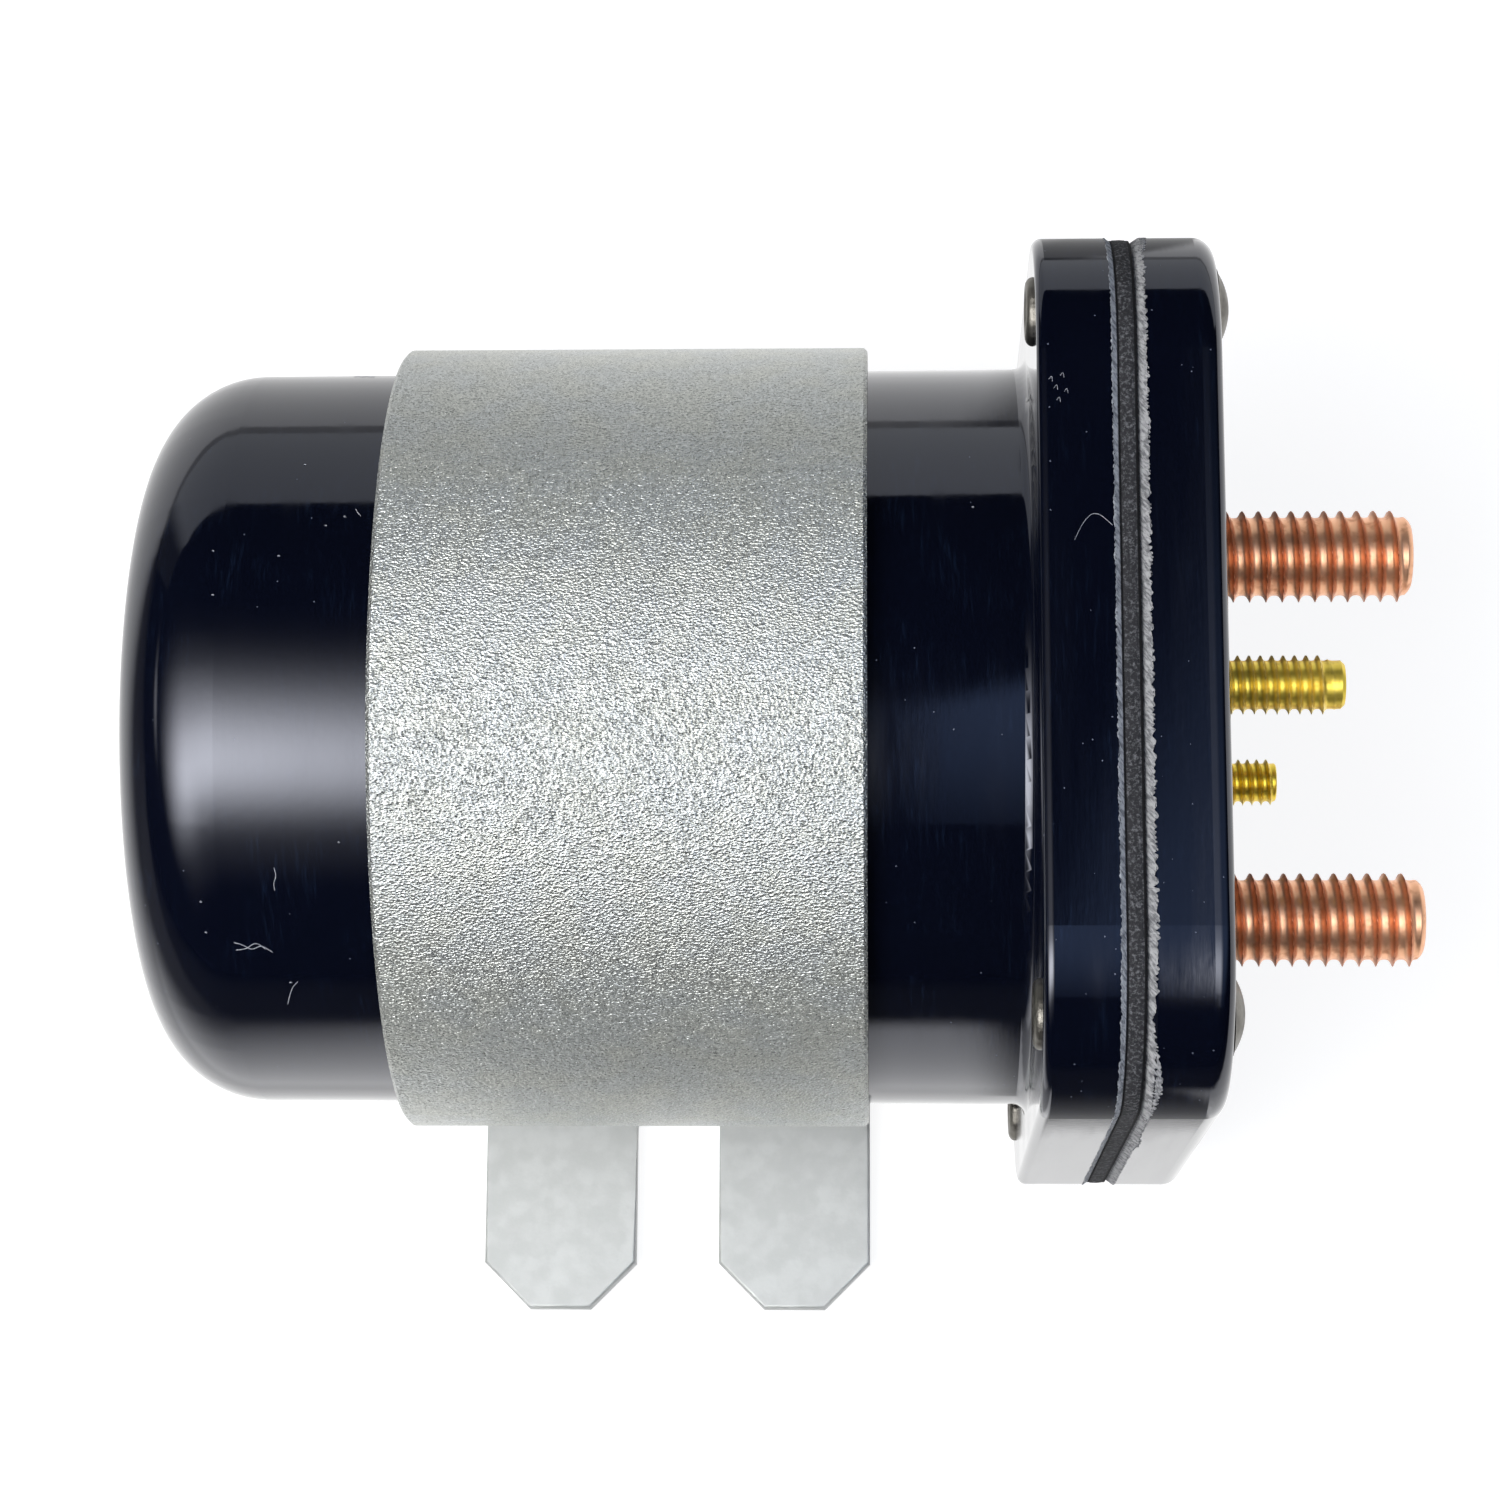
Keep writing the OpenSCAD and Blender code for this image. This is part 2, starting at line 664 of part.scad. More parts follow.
// Insulating liner of the contact chamber, slotted to keep the bar from turning
module chamber_liner() {
    color([0.6, 0.42, 0.26]) on_axis(liner_x) linear_extrude(liner_len) difference() {
        circle(r = stack_r);
        circle(r = liner_bore_r);
        intersection() {
            square([slot_w, 2 * stack_r], center = true);
            circle(r = slot_floor_r);
        }
    }
}

// One lead, from the winding to the inner face of a coil stud's head
module coil_lead() {
    start_x = bobbin_end_x - bobbin_flange_t + seat_gap;
    head_x = cover_in_x - coil_head_t - seat_gap - lead_r;
    bend = [head_x, 0, lead_out_r];
    foot = [head_x, 0, coil_pitch / 2];
    translate([start_x, 0, lead_out_r]) rotate([0, 90, 0]) cylinder(h = bend.x - start_x, r = lead_r);
    translate(bend) sphere(r = lead_r);
    translate(foot) cylinder(h = bend.z - foot.z, r = lead_r);
    translate(foot) sphere(r = lead_r);
}

// Both leads, mirrored about the solenoid's axis
module coil_leads() {
    color([0.7, 0.36, 0.16]) translate([0, 0, axis_h]) {
        coil_lead();
        mirror([0, 0, 1]) coil_lead();
    }
}

// Steel plunger with a spring pocket in its front
module plunger() {
    color([0.6, 0.61, 0.63]) difference() {
        on_axis(plunger_back_x) cylinder(h = plunger_x - plunger_back_x, r = plunger_r);
        on_axis(pocket_floor_x) cylinder(h = spring_pocket_depth + past, r = spring_pocket_r);
        on_axis(pocket_floor_x - rod_grip) cylinder(h = rod_grip + past, r = rod_r + seat_gap);
    }
}

// Non-magnetic rod from the plunger to the contact bar, grooved for its clip
module plunger_rod() {
    foot_x = pocket_floor_x - rod_grip + seat_gap;
    straight = rod_end_x - rod_chamfer - foot_x;
    color([0.8, 0.68, 0.32]) difference() {
        on_axis(foot_x) {
            cylinder(h = straight, r = rod_r);
            translate([0, 0, straight]) cylinder(h = rod_chamfer, r1 = rod_r, r2 = rod_r - rod_chamfer);
        }
        tube(clip_x, clip_t, rod_r + past, rod_r - groove_depth);
    }
}

// Height of a spring's wire after a number of turns: one closed turn at each end
function spring_rise(turn, turns, length, wire_r) =
    let (closed = 2.1 * wire_r, active = length - 2 * wire_r - 2 * closed)
    wire_r + closed * (min(turn, 1) + max(turn - turns + 1, 0))
        + active * max(min(turn - 1, turns - 2), 0) / (turns - 2);

// Helical spring that stands on Z
module helical_spring(mean_r, wire_r, turns, length) {
    rings = round(turns * spring_steps);
    points = [for (i = [0:rings], j = [0:spring_sides - 1])
        let (turn = i * turns / rings, around = 360 * j / spring_sides, reach = mean_r + wire_r * cos(around))
        [reach * cos(360 * turn), reach * sin(360 * turn),
         spring_rise(turn, turns, length, wire_r) + wire_r * sin(around)]];
    sides = [for (i = [0:rings - 1], j = [0:spring_sides - 1])
        let (k = (j + 1) % spring_sides, a = i * spring_sides)
        [a + j, a + k, a + k + spring_sides, a + j + spring_sides]];
    first = [for (j = [spring_sides - 1:-1:0]) j];
    last = [for (j = [0:spring_sides - 1]) rings * spring_sides + j];
    polyhedron(points = points, faces = concat(sides, [first, last]), convexity = 12);
}

// Spring that drives the plunger back
module return_spring() {
    color([0.7, 0.7, 0.72]) on_axis(pocket_floor_x + seat_gap)
        helical_spring(spring_mean_r, return_wire_r, return_turns, return_spring_len);
}

// Collar on the rod, under the contact spring
module spring_collar() {
    color([0.6, 0.61, 0.63]) tube(collar_x, collar_t, collar_r, rod_r + seat_gap);
}

// Spring that presses the bar on the studs
module contact_spring() {
    color([0.7, 0.7, 0.72]) on_axis(contact_spring_x)
        helical_spring(contact_spring_mean_r, contact_wire_r, contact_turns, contact_spring_len);
}

// Open ring in the rod's groove, which keeps the bar on the rod
module rod_clip() {
    bite_r = rod_r - groove_depth + seat_gap;
    color([0.3, 0.3, 0.32]) on_axis(clip_x + seat_gap / 2) linear_extrude(clip_t - seat_gap) difference() {
        circle(r = clip_r);
        circle(r = bite_r);
        translate([0, -bite_r]) square([clip_r, 2 * bite_r]);
    }
}

// Insulating bush that carries the bar on the rod
module contact_bush() {
    sleeve = bush_front_x - bush_back_x;
    color([0.75, 0.72, 0.62]) on_axis(bush_back_x) difference() {
        union() {
            cylinder(h = bush_flange_t, r = bush_flange_r);
            cylinder(h = sleeve, r = bush_r);
        }
        translate([0, 0, -past]) cylinder(h = sleeve + 2 * past, r = rod_r + slide_gap);
    }
}

// Copper bar that bridges the load studs' heads
module contact_bar() {
    color([0.86, 0.52, 0.38]) difference() {
        translate([bar_back_x, -bar_len / 2, axis_h - bar_w / 2]) cube([bar_t, bar_len, bar_w]);
        on_axis(bar_back_x - past) cylinder(h = bar_t + 2 * past, r = bush_r + seat_gap);
    }
}

// Silver tips on the bar, opposite the load studs' heads
module contact_tips() {
    color([0.85, 0.85, 0.83]) translate([bar_front_x, 0, 0]) at_load_studs() cylinder(h = tip_t, r = tip_r);
}

housing_can();
flange_gasket();
terminal_cover();
flange_rivets();
clamp_band();
mounting_plate();
weld_beads();
rear_load_stud();
front_load_stud();
upper_coil_stud();
lower_coil_stud();
magnet_cup();
bumper_disc();
rear_pole_ring();
coil_bobbin();
coil_winding();
winding_wrap();
guide_tube();
pole_plate();
fixed_core();
insulating_disc();
chamber_liner();
coil_leads();
plunger();
plunger_rod();
return_spring();
spring_collar();
contact_spring();
rod_clip();
contact_bush();
contact_bar();
contact_tips();
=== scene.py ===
"""Dressing of a solenoid relay for a product shot from above.

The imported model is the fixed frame. Each sub-assembly class paints the nodes that stay and builds the
pieces that stand for plain nodes: rolled threads, rivets, trimmed edges, weld beads, springs and the
mounting plate. All meshes are worked out in millimetres and written in metres.
"""

from __future__ import annotations

import logging
import math
import random
from abc import ABC, abstractmethod
from collections.abc import Callable, Sequence
from dataclasses import dataclass, field
from enum import Enum
from functools import reduce

import bmesh
import bpy
from mathutils import Matrix, Vector, noise

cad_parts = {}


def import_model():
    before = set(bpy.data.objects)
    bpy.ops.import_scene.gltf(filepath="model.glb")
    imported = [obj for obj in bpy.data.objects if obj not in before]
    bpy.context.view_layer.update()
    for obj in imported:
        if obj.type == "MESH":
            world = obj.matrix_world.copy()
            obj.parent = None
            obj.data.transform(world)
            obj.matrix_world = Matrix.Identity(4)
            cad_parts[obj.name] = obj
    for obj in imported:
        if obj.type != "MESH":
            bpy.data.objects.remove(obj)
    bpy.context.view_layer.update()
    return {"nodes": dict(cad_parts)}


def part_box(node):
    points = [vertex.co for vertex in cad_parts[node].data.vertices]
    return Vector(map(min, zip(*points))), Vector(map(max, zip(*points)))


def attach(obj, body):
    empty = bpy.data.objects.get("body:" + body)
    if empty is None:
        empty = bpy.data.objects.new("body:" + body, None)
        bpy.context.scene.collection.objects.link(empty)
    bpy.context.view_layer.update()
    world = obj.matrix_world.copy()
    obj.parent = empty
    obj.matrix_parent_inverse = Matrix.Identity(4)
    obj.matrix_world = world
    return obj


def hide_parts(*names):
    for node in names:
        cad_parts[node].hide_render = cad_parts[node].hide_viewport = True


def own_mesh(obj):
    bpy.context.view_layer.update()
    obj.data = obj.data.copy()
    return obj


LOG = logging.getLogger("relay")
MM = 0.001

Colour = tuple[float, float, float]
Point = tuple[float, float, float]


class Body(Enum):
    """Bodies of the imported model."""

    HOUSING = "housing"
    PLUNGER = "plunger_set"
    CONTACT = "contact_set"


class Slot(Enum):
    """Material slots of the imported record."""

    MOULDED_BLACK = "moulded_black"
    GASKET_RUBBER = "gasket_rubber"
    RIVET_STEEL = "rivet_steel"
    BLASTED_STEEL = "blasted_steel"
    ZINC_PLATE = "zinc_plate"
    WELD_STEEL = "weld_steel"
    COPPER = "copper"
    BRASS = "brass"
    MAGNET_STEEL = "magnet_steel"
    BUMPER_RUBBER = "bumper_rubber"
    BOBBIN_NYLON = "bobbin_nylon"
    ENAMELLED_WIRE = "enamelled_wire"
    WINDING_TAPE = "winding_tape"
    FIBRE_BOARD = "fibre_board"
    SPRING_STEEL = "spring_steel"
    SILVER = "silver"


# Node graphs


class Graph:
    """Nodes of a material or of the world."""

    def __init__(self, owner: bpy.types.Material | bpy.types.World) -> None:
        """Empties the owner's node tree, to be filled anew.

        Args:
            owner: Material or world that the nodes belong to.
        """
        owner.use_nodes = True
        self.tree = owner.node_tree
        self.tree.nodes.clear()

    def node(self, kind: str, inputs: dict[int | str, object], **settings: object) -> bpy.types.Node:
        """Adds a node.

        Args:
            kind: Blender's name of the node type.
            inputs: Value or socket for each input, by its name or number.
            settings: Attributes of the node.

        Returns:
            The new node.
        """
        made = self.tree.nodes.new(kind)
        for key, value in settings.items():
            setattr(made, key, value)
        for key, value in inputs.items():
            self.feed(made.inputs[key], value)
        return made

    def feed(self, socket: bpy.types.NodeSocket, value: object) -> None:
        """Links a socket to another one, or sets its value.

        Args:
            socket: Input to fill.
            value: Socket, number or tuple.
        """
        if isinstance(value, bpy.types.NodeSocket):
            self.tree.links.new(value, socket)
        else:
            socket.default_value = value

    def rays(self) -> bpy.types.NodeOutputs:
        """Gives the sockets that tell the kinds of ray apart."""
        return self.node("ShaderNodeLightPath", {}).outputs

    def choose(self, factor: object, first: object, second: object) -> bpy.types.NodeSocket:
        """Mixes two shaders, the factor being the second one's share."""
        return self.node("ShaderNodeMixShader", {0: factor, 1: first, 2: second}).outputs[0]


class ShaderGraph(Graph):
    """Node tree of one material, built round a Principled shader."""

    def __init__(self, name: str) -> None:
        """Starts an empty material.

        Args:
            name: Name of the material.
        """
        self.material = bpy.data.materials.new(name)
        super().__init__(self.material)
        self.output = self.tree.nodes.new("ShaderNodeOutputMaterial")
        self.shader = self.tree.nodes.new("ShaderNodeBsdfPrincipled")
        self.place = self.tree.nodes.new("ShaderNodeTexCoord").outputs["Object"]

    def show(self, shader: bpy.types.NodeSocket) -> bpy.types.Material:
        """Puts a shader on the surface and returns the material."""
        self.feed(self.output.inputs[0], shader)
        return self.material

    def math(self, operation: str, a: object, b: object = 0.0) -> bpy.types.NodeSocket:
        """Adds a math node and returns its result."""
        return self.node("ShaderNodeMath", {0: a, 1: b}, operation=operation).outputs[0]

    def product(self, *factors: object) -> bpy.types.NodeSocket:
        """Multiplies values."""
        return reduce(lambda a, b: self.math("MULTIPLY", a, b), factors)

    def total(self, *terms: object) -> bpy.types.NodeSocket:
        """Adds values."""
        return reduce(lambda a, b: self.math("ADD", a, b), terms)

    def minus(self, a: object, b: object) -> bpy.types.NodeSocket:
        """Takes the second value from the first."""
        return self.math("SUBTRACT", a, b)

    def length(self, a: object, b: object) -> bpy.types.NodeSocket:
        """Gives the length of a line from its two parts."""
        return self.math("SQRT", self.total(self.product(a, a), self.product(b, b)))

    def ramp(self, value: object, low: float, high: float, start: float = 0.0, end: float = 1.0
             ) -> bpy.types.NodeSocket:
        """Maps a value smoothly from low..high to start..end, clamped."""
        inputs = {0: value, 1: low, 2: high, 3: start, 4: end}
        return self.node("ShaderNodeMapRange", inputs, interpolation_type="SMOOTHSTEP").outputs[0]

    def scaled(self, vector: bpy.types.NodeSocket, factors: Point) -> bpy.types.NodeSocket:
        """Multiplies a vector by three factors."""
        return self.node("ShaderNodeVectorMath", {0: vector, 1: factors}, operation="MULTIPLY").outputs[0]

    def noise(self, size: float, detail: float = 2.0, roughness: float = 0.5,
              vector: bpy.types.NodeSocket | None = None) -> bpy.types.NodeSocket:
        """Adds noise of about 0.5, with features of a size in millimetres and finer layers of a weight."""
        where = {"Vector": vector or self.place, "Scale": 1.0 / (size * MM)}
        return self.node("ShaderNodeTexNoise", {**where, "Detail": detail, "Roughness": roughness}).outputs[0]

    def cells(self, size: float, vector: bpy.types.NodeSocket | None = None, **settings: object
              ) -> bpy.types.Node:
        """Adds a texture of cells of a size in millimetres."""
        where = {"Vector": vector or self.place, "Scale": 1.0 / (size * MM)}
        return self.node("ShaderNodeTexVoronoi", where, **settings)

    def mix(self, factor: object, first: object, second: object) -> bpy.types.NodeSocket:
        """Mixes two colours.

        Args:
            factor: Share of the second colour.
            first: Colour or socket.
            second: Colour or socket.

        Returns:
            The mixed colour.
        """
        made = self.node("ShaderNodeMix", {0: factor}, data_type="RGBA")
        for number, value in ((6, first), (7, second)):
            linked = isinstance(value, bpy.types.NodeSocket)
            self.feed(made.inputs[number], value if linked else (*value, 1.0))
        return made.outputs[2]

    def mix_value(self, factor: object, first: object, second: object) -> bpy.types.NodeSocket:
        """Mixes two numbers, the factor being the second one's share."""
        return self.node("ShaderNodeMix", {0: factor, 2: first, 3: second}, data_type="FLOAT").outputs[0]

    def parts(self, vector: bpy.types.NodeSocket | None = None) -> bpy.types.NodeOutputs:
        """Splits a vector, the object's own coordinates if left out, into its three parts."""
        return self.node("ShaderNodeSeparateXYZ", {0: vector or self.place}).outputs

    def combine(self, x: object, y: object, z: object) -> bpy.types.NodeSocket:
        """Joins three numbers into a vector."""
        return self.node("ShaderNodeCombineXYZ", {0: x, 1: y, 2: z}).outputs[0]

    def bump(self, height: bpy.types.NodeSocket, depth: float, normal: bpy.types.NodeSocket | None = None
             ) -> bpy.types.NodeSocket:
        """Gives the normal of a relief, from heights of 0 to 1 and its depth in millimetres."""
        under = {"Normal": normal} if normal else {}
        return self.node("ShaderNodeBump", {"Height": height, "Distance": depth * MM, **under}).outputs[0]

    def glow(self, strength: object, tone: Colour = (1.0, 1.0, 1.0)) -> bpy.types.NodeSocket:
        """Adds a glowing shader."""
        return self.node("ShaderNodeEmission", {"Color": (*tone, 1.0), "Strength": strength}).outputs[0]

    def sum(self, first: object, second: object) -> bpy.types.NodeSocket:
        """Adds two shaders."""
        return self.node("ShaderNodeAddShader", {0: first, 1: second}).outputs[0]

    def finish(self, **inputs: object) -> bpy.types.Material:
        """Fills the Principled shader's inputs and puts it on the surface.

        Args:
            inputs: Value or socket for each input, its name in lower case with underscores.

        Returns:
            The finished material.
        """
        names = {socket.name.lower().replace(" ", "_"): socket for socket in reversed(self.shader.inputs)}
        for key, value in inputs.items():
            self.feed(names[key], (*value, 1.0) if isinstance(value, tuple) else value)
        return self.show(self.shader.outputs[0])


# Finishes


@dataclass(frozen=True)
class Finish(ABC):
    """A surface finish."""

    name: str

    @abstractmethod
    def build(self) -> bpy.types.Material:
        """Builds the material of this finish."""


@dataclass(frozen=True)
class PolishedPhenolic(Finish):
    """Polished black moulding with faint marks of the polishing wheel round its axis, and dust."""

    axis_height: float
    tone: Colour = (0.0018, 0.0026, 0.0075)
    dust: Colour = (0.13, 0.15, 0.20)
    haze: Colour = (0.006, 0.011, 0.026)
    tint: Colour = (0.86, 0.885, 1.0)
    ior: float = 1.64
    speck: float = 0.75
    dusty: tuple[float, float] = (32.0 * MM, 34.0 * MM)
    wheel_depth: float = 0.0011
    peel_depth: float = 0.0016

    def build(self) -> bpy.types.Material:
        """Builds the material of this finish."""
        graph = ShaderGraph(self.name)
        along, across, up = graph.parts()
        rise = graph.minus(up, self.axis_height * MM)
        turn = graph.product(graph.math("ARCTAN2", across, rise), 0.0035)
        wheel = graph.combine(along, turn, graph.product(graph.length(across, rise), 0.15))
        fine = graph.noise(0.30, 3.0, 0.6, wheel)
        broad = graph.noise(2.4, 3.0, 0.6, wheel)
        specks = graph.cells(self.speck)
        near = graph.ramp(specks.outputs["Distance"], 0.05, 0.10, 1.0, 0.0)
        drift = graph.ramp(graph.noise(9.0, 2.0, 0.6), 0.35, 0.75, 0.975, 0.82)
        drift = graph.minus(drift, graph.ramp(along, *self.dusty, 0.0, 0.12))
        mask = graph.product(near, graph.math("GREATER_THAN", graph.parts(specks.outputs["Color"])[0], drift))
        streaks = graph.product(graph.ramp(fine, 0.5, 0.8), graph.ramp(graph.noise(5.0), 0.4, 0.7))
        colour = graph.mix(mask, graph.mix(streaks, self.tone, self.haze), self.dust)
        rough = graph.total(graph.ramp(broad, 0.35, 0.75, 0.055, 0.115), graph.product(mask, 0.5))
        normal = graph.bump(graph.noise(0.8, 1.0), self.peel_depth, graph.bump(fine, self.wheel_depth))
        return graph.finish(base_color=colour, roughness=rough, normal=normal, ior=self.ior,
                            specular_tint=self.tint)


@dataclass(frozen=True)
class GroundPhenolic(Finish):
    """Moulding ground through its gloss, light grey with ridges left by the belt."""

    light: Colour
    dark: Colour
    ridge: float = 0.05

    def build(self) -> bpy.types.Material:
        """Builds the material of this finish."""
        graph = ShaderGraph(self.name)
        along, across, up = graph.parts()
        lean = graph.total(along, graph.product(across, 0.7))
        belt = graph.combine(lean, graph.product(across, 0.3), graph.product(up, 0.4))
        grain = graph.noise(0.2, 3.0, 0.65, belt)
        shade = graph.total(graph.product(grain, 0.8), graph.product(graph.noise(1.1), 0.2))
        colour = graph.mix(graph.ramp(shade, 0.38, 0.60), self.dark, self.light)
        return graph.finish(base_color=colour, roughness=0.72, normal=graph.bump(grain, self.ridge))


@dataclass(frozen=True)
class SpeckledRubber(Finish):
    """Matt charcoal sheet rubber with lighter grains, and painted shadow in near-black along both edges where it
    goes under the mouldings.
    """

    tone: Colour = (0.022, 0.022, 0.024)
    grain_tone: Colour = (0.17, 0.17, 0.18)
    patch_tone: Colour = (0.05, 0.05, 0.055)
    gap_shadow_tone: Colour = (0.002, 0.002, 0.003)
    back: float = 39.1
    front: float = 40.6

    def build(self) -> bpy.types.Material:
        """Builds the material of this finish."""
        graph = ShaderGraph(self.name)
        grain = graph.noise(0.26, 3.0, 0.7)
        patch = graph.noise(1.6)
        colour = graph.mix(graph.ramp(grain, 0.46, 0.72), self.tone, self.grain_tone)
        colour = graph.mix(graph.ramp(patch, 0.3, 0.8, 0.0, 0.3), colour, self.patch_tone)
        along = graph.total(graph.parts()[0], graph.product(patch, 0.08 * MM))
        # Painted shadow: the colour goes near-black in a band along each edge, for the shadow gap under the
        # mouldings.
        painted_gap_shadow = graph.math("MAXIMUM", graph.ramp(along, (self.front - 0.19) * MM, (self.front - 0.13) * MM),
                          graph.ramp(along, (self.back + 0.15) * MM, (self.back + 0.2) * MM, 1.0, 0.0))
        colour = graph.mix(painted_gap_shadow, colour, self.gap_shadow_tone)
        return graph.finish(base_color=colour, roughness=0.82, normal=graph.bump(grain, 0.06),
                            specular_ior_level=0.2)


@dataclass(frozen=True)
class BlastedSteel(Finish):
    """Coarsely blasted plated steel: bright grains, each of which catches the light its own way, with painted
    shade in the pits between them.
    """

    warm: Colour = (0.57, 0.581, 0.543)
    cool: Colour = (0.55, 0.57, 0.56)
    pit_shade: Colour = (0.36, 0.375, 0.35)
    grain: float = 0.18
    depth: float = 0.15
    gloss: tuple[float, float] = (0.26, 0.36)

    def build(self) -> bpy.types.Material:
        """Builds the material of this finish."""
        graph = ShaderGraph(self.name)
        flat = graph.scaled(graph.place, (0.7, 1.0, 1.0))
        coarse = graph.noise(self.grain * 1.1, 2.0, 0.6, flat)
        fine = graph.cells(self.grain, flat).outputs["Distance"]
        height = graph.total(graph.product(coarse, 0.8), graph.product(fine, 0.6))
        tinted = graph.mix(graph.ramp(graph.noise(3.5), 0.35, 0.65), self.warm, self.cool)
        # Painted shade: the low spots of the relief get the darker pit colour.
        colour = graph.mix(graph.ramp(height, 0.45, 0.75), self.pit_shade, tinted)
        rough = graph.ramp(coarse, 0.35, 0.65, *self.gloss)
        return graph.finish(base_color=colour, metallic=0.88, roughness=rough,
                            normal=graph.bump(height, self.depth))


@dataclass(frozen=True)
class Galvanised(Finish):
    """Dull zinc coat with soft pale spangles."""

    tone: Colour = (0.46, 0.47, 0.457)
    pale: Colour = (0.54, 0.55, 0.537)

    def build(self) -> bpy.types.Material:
        """Builds the material of this finish."""
        graph = ShaderGraph(self.name)
        drift = graph.noise(1.1, 4.0, 0.65)
        spangle = graph.parts(graph.cells(1.3, feature="SMOOTH_F1").outputs["Color"])[0]
        shade = graph.total(graph.product(spangle, 0.3), graph.product(drift, 0.7))
        colour = graph.mix(graph.ramp(shade, 0.3, 0.7), self.tone, self.pale)
        normal = graph.bump(graph.noise(0.5, 3.0, 0.6), 0.012)
        rough = graph.ramp(drift, 0.3, 0.7, 0.46, 0.62)
        return graph.finish(base_color=colour, metallic=0.5, roughness=rough, normal=normal)


@dataclass(frozen=True)
class RolledThread(Finish):
    """Bright rolled thread, stained in places, with painted light and shade that changes from root to crest.

    The studs of one metal lie mirrored, so the distance from their axes is taken with mirrored
    coordinates: fold_y for studs side by side, fold_z for studs above one another.
    """

    axis_height: float
    crest_light_and_shade: Colour = (0.66, 0.26, 0.13)
    root_light_and_shade: Colour = (0.97, 0.53, 0.31)
    stain: Colour = (0.6, 0.25, 0.12)
    root_radius: float = 3.45
    crest_radius: float = 3.97
    fold_y: float = 16.0
    fold_z: float = 0.0
    polish: float = 0.34

    def build(self) -> bpy.types.Material:
        """Builds the material of this finish."""
        graph = ShaderGraph(self.name)
        _, across, up = graph.parts()
        rise = graph.minus(up, self.axis_height * MM)
        if self.fold_y:
            across = graph.minus(graph.math("ABSOLUTE", across), self.fold_y * MM)
        if self.fold_z:
            rise = graph.minus(graph.math("ABSOLUTE", rise), self.fold_z * MM)
        depth = graph.ramp(graph.length(across, rise), self.root_radius * MM, self.crest_radius * MM)
        blotch = graph.noise(1.3, 3.0, 0.6)
        stained = graph.product(graph.ramp(blotch, 0.5, 0.75), graph.ramp(depth, 0.0, 1.0, 0.75, 0.25))
        # Painted light and shade: the colour goes from the root tone to the crest tone with the depth in the
        # thread, bright roots on the copper, bright crests and dark roots on the brass.
        colour = graph.mix(stained, graph.mix(depth, self.root_light_and_shade, self.crest_light_and_shade), self.stain)
        turned = graph.noise(0.12, 2.0, 0.6, graph.scaled(graph.place, (1.0, 0.12, 0.12)))
        rough = graph.ramp(blotch, 0.3, 0.8, self.polish, self.polish + 0.16)
        return graph.finish(base_color=colour, metallic=0.8, roughness=rough,
                            normal=graph.bump(turned, 0.006))


@dataclass(frozen=True)
class Grain:
    """A noise pattern: size of its features in millimetres, finer layers, their weight and its stretch."""

    size: float
    detail: float = 3.0
    weight: float = 0.6
    stretch: Point = (1.0, 1.0, 1.0)

    def on(self, graph: ShaderGraph) -> bpy.types.NodeSocket:
        """Adds the pattern to a graph."""
        return graph.noise(self.size, self.detail, self.weight, graph.scaled(graph.place, self.stretch))


@dataclass(frozen=True)
class Mottled(Finish):
    """Plain stock whose tone drifts into a second one, with fine marks; turned steel if nothing is said."""

    tone: Colour = (0.4, 0.41, 0.43)
    second: Colour = (0.22, 0.21, 0.2)
    patch: Grain = Grain(2.5, 4.0)
    share: tuple[float, float, float, float] = (0.48, 0.8, 0.0, 0.7)
    marks: Grain = Grain(0.2, stretch=(1.0, 0.1, 0.1))
    depth: float = 0.004
    rough: tuple[float, float] = (0.28, 0.48)
    rough_by_marks: bool = False
    metallic: float = 1.0

    def build(self) -> bpy.types.Material:
        """Builds the material of this finish."""
        graph = ShaderGraph(self.name)
        patch, marks = self.patch.on(graph), self.marks.on(graph)
        colour = graph.mix(graph.ramp(patch, *self.share), self.tone, self.second)
        rough = graph.ramp(marks if self.rough_by_marks else patch, 0.3, 0.7, *self.rough)
        return graph.finish(base_color=colour, metallic=self.metallic, roughness=rough,
                            normal=graph.bump(marks, self.depth))


@dataclass(frozen=True)
class WoundWire(Finish):
    """Enamelled wire wound turn by turn, so that each layer shows as ribs along the axis, with painted shade where
    the turns meet.
    """

    tone: Colour = (0.42, 0.15, 0.05)
    crease_shade: Colour = (0.10, 0.03, 0.012)
    wire: float = 0.5

    def build(self) -> bpy.types.Material:
        """Builds the material of this finish."""
        graph = ShaderGraph(self.name)
        turns = graph.math("FRACT", graph.product(graph.parts()[0], 1.0 / (self.wire * MM)))
        side = graph.math("ABSOLUTE", graph.minus(turns, 0.5))
        round_off = graph.ramp(side, 0.25, 0.5, 1.0, 0.0)
        # Painted shade: each turn darkens towards its sides, where it meets the next turn.
        colour = graph.mix(round_off, self.crease_shade, self.tone)
        return graph.finish(base_color=colour, metallic=0.6, roughness=0.25,
                            normal=graph.bump(round_off, self.wire * 0.4))


@dataclass(frozen=True)
class WovenTape(Finish):
    """Pale tape with a fine weave and overlapping turns."""

    tone: Colour = (0.74, 0.68, 0.38)
    lap: Colour = (0.56, 0.5, 0.24)
    width: float = 9.0

    def build(self) -> bpy.types.Material:
        """Builds the material of this finish."""
        graph = ShaderGraph(self.name)
        laps = graph.math("FRACT", graph.product(graph.parts()[0], 1.0 / (self.width * MM)))
        weave = graph.noise(0.2, 2.0, 0.5, graph.scaled(graph.place, (1.0, 0.4, 0.4)))
        colour = graph.mix(graph.ramp(weave, 0.3, 0.7, 0.0, 0.4), self.tone, self.lap)
        colour = graph.mix(graph.ramp(laps, 0.0, 0.06, 1.0, 0.0), colour, self.lap)
        return graph.finish(base_color=colour, roughness=0.62, normal=graph.bump(weave, 0.01))


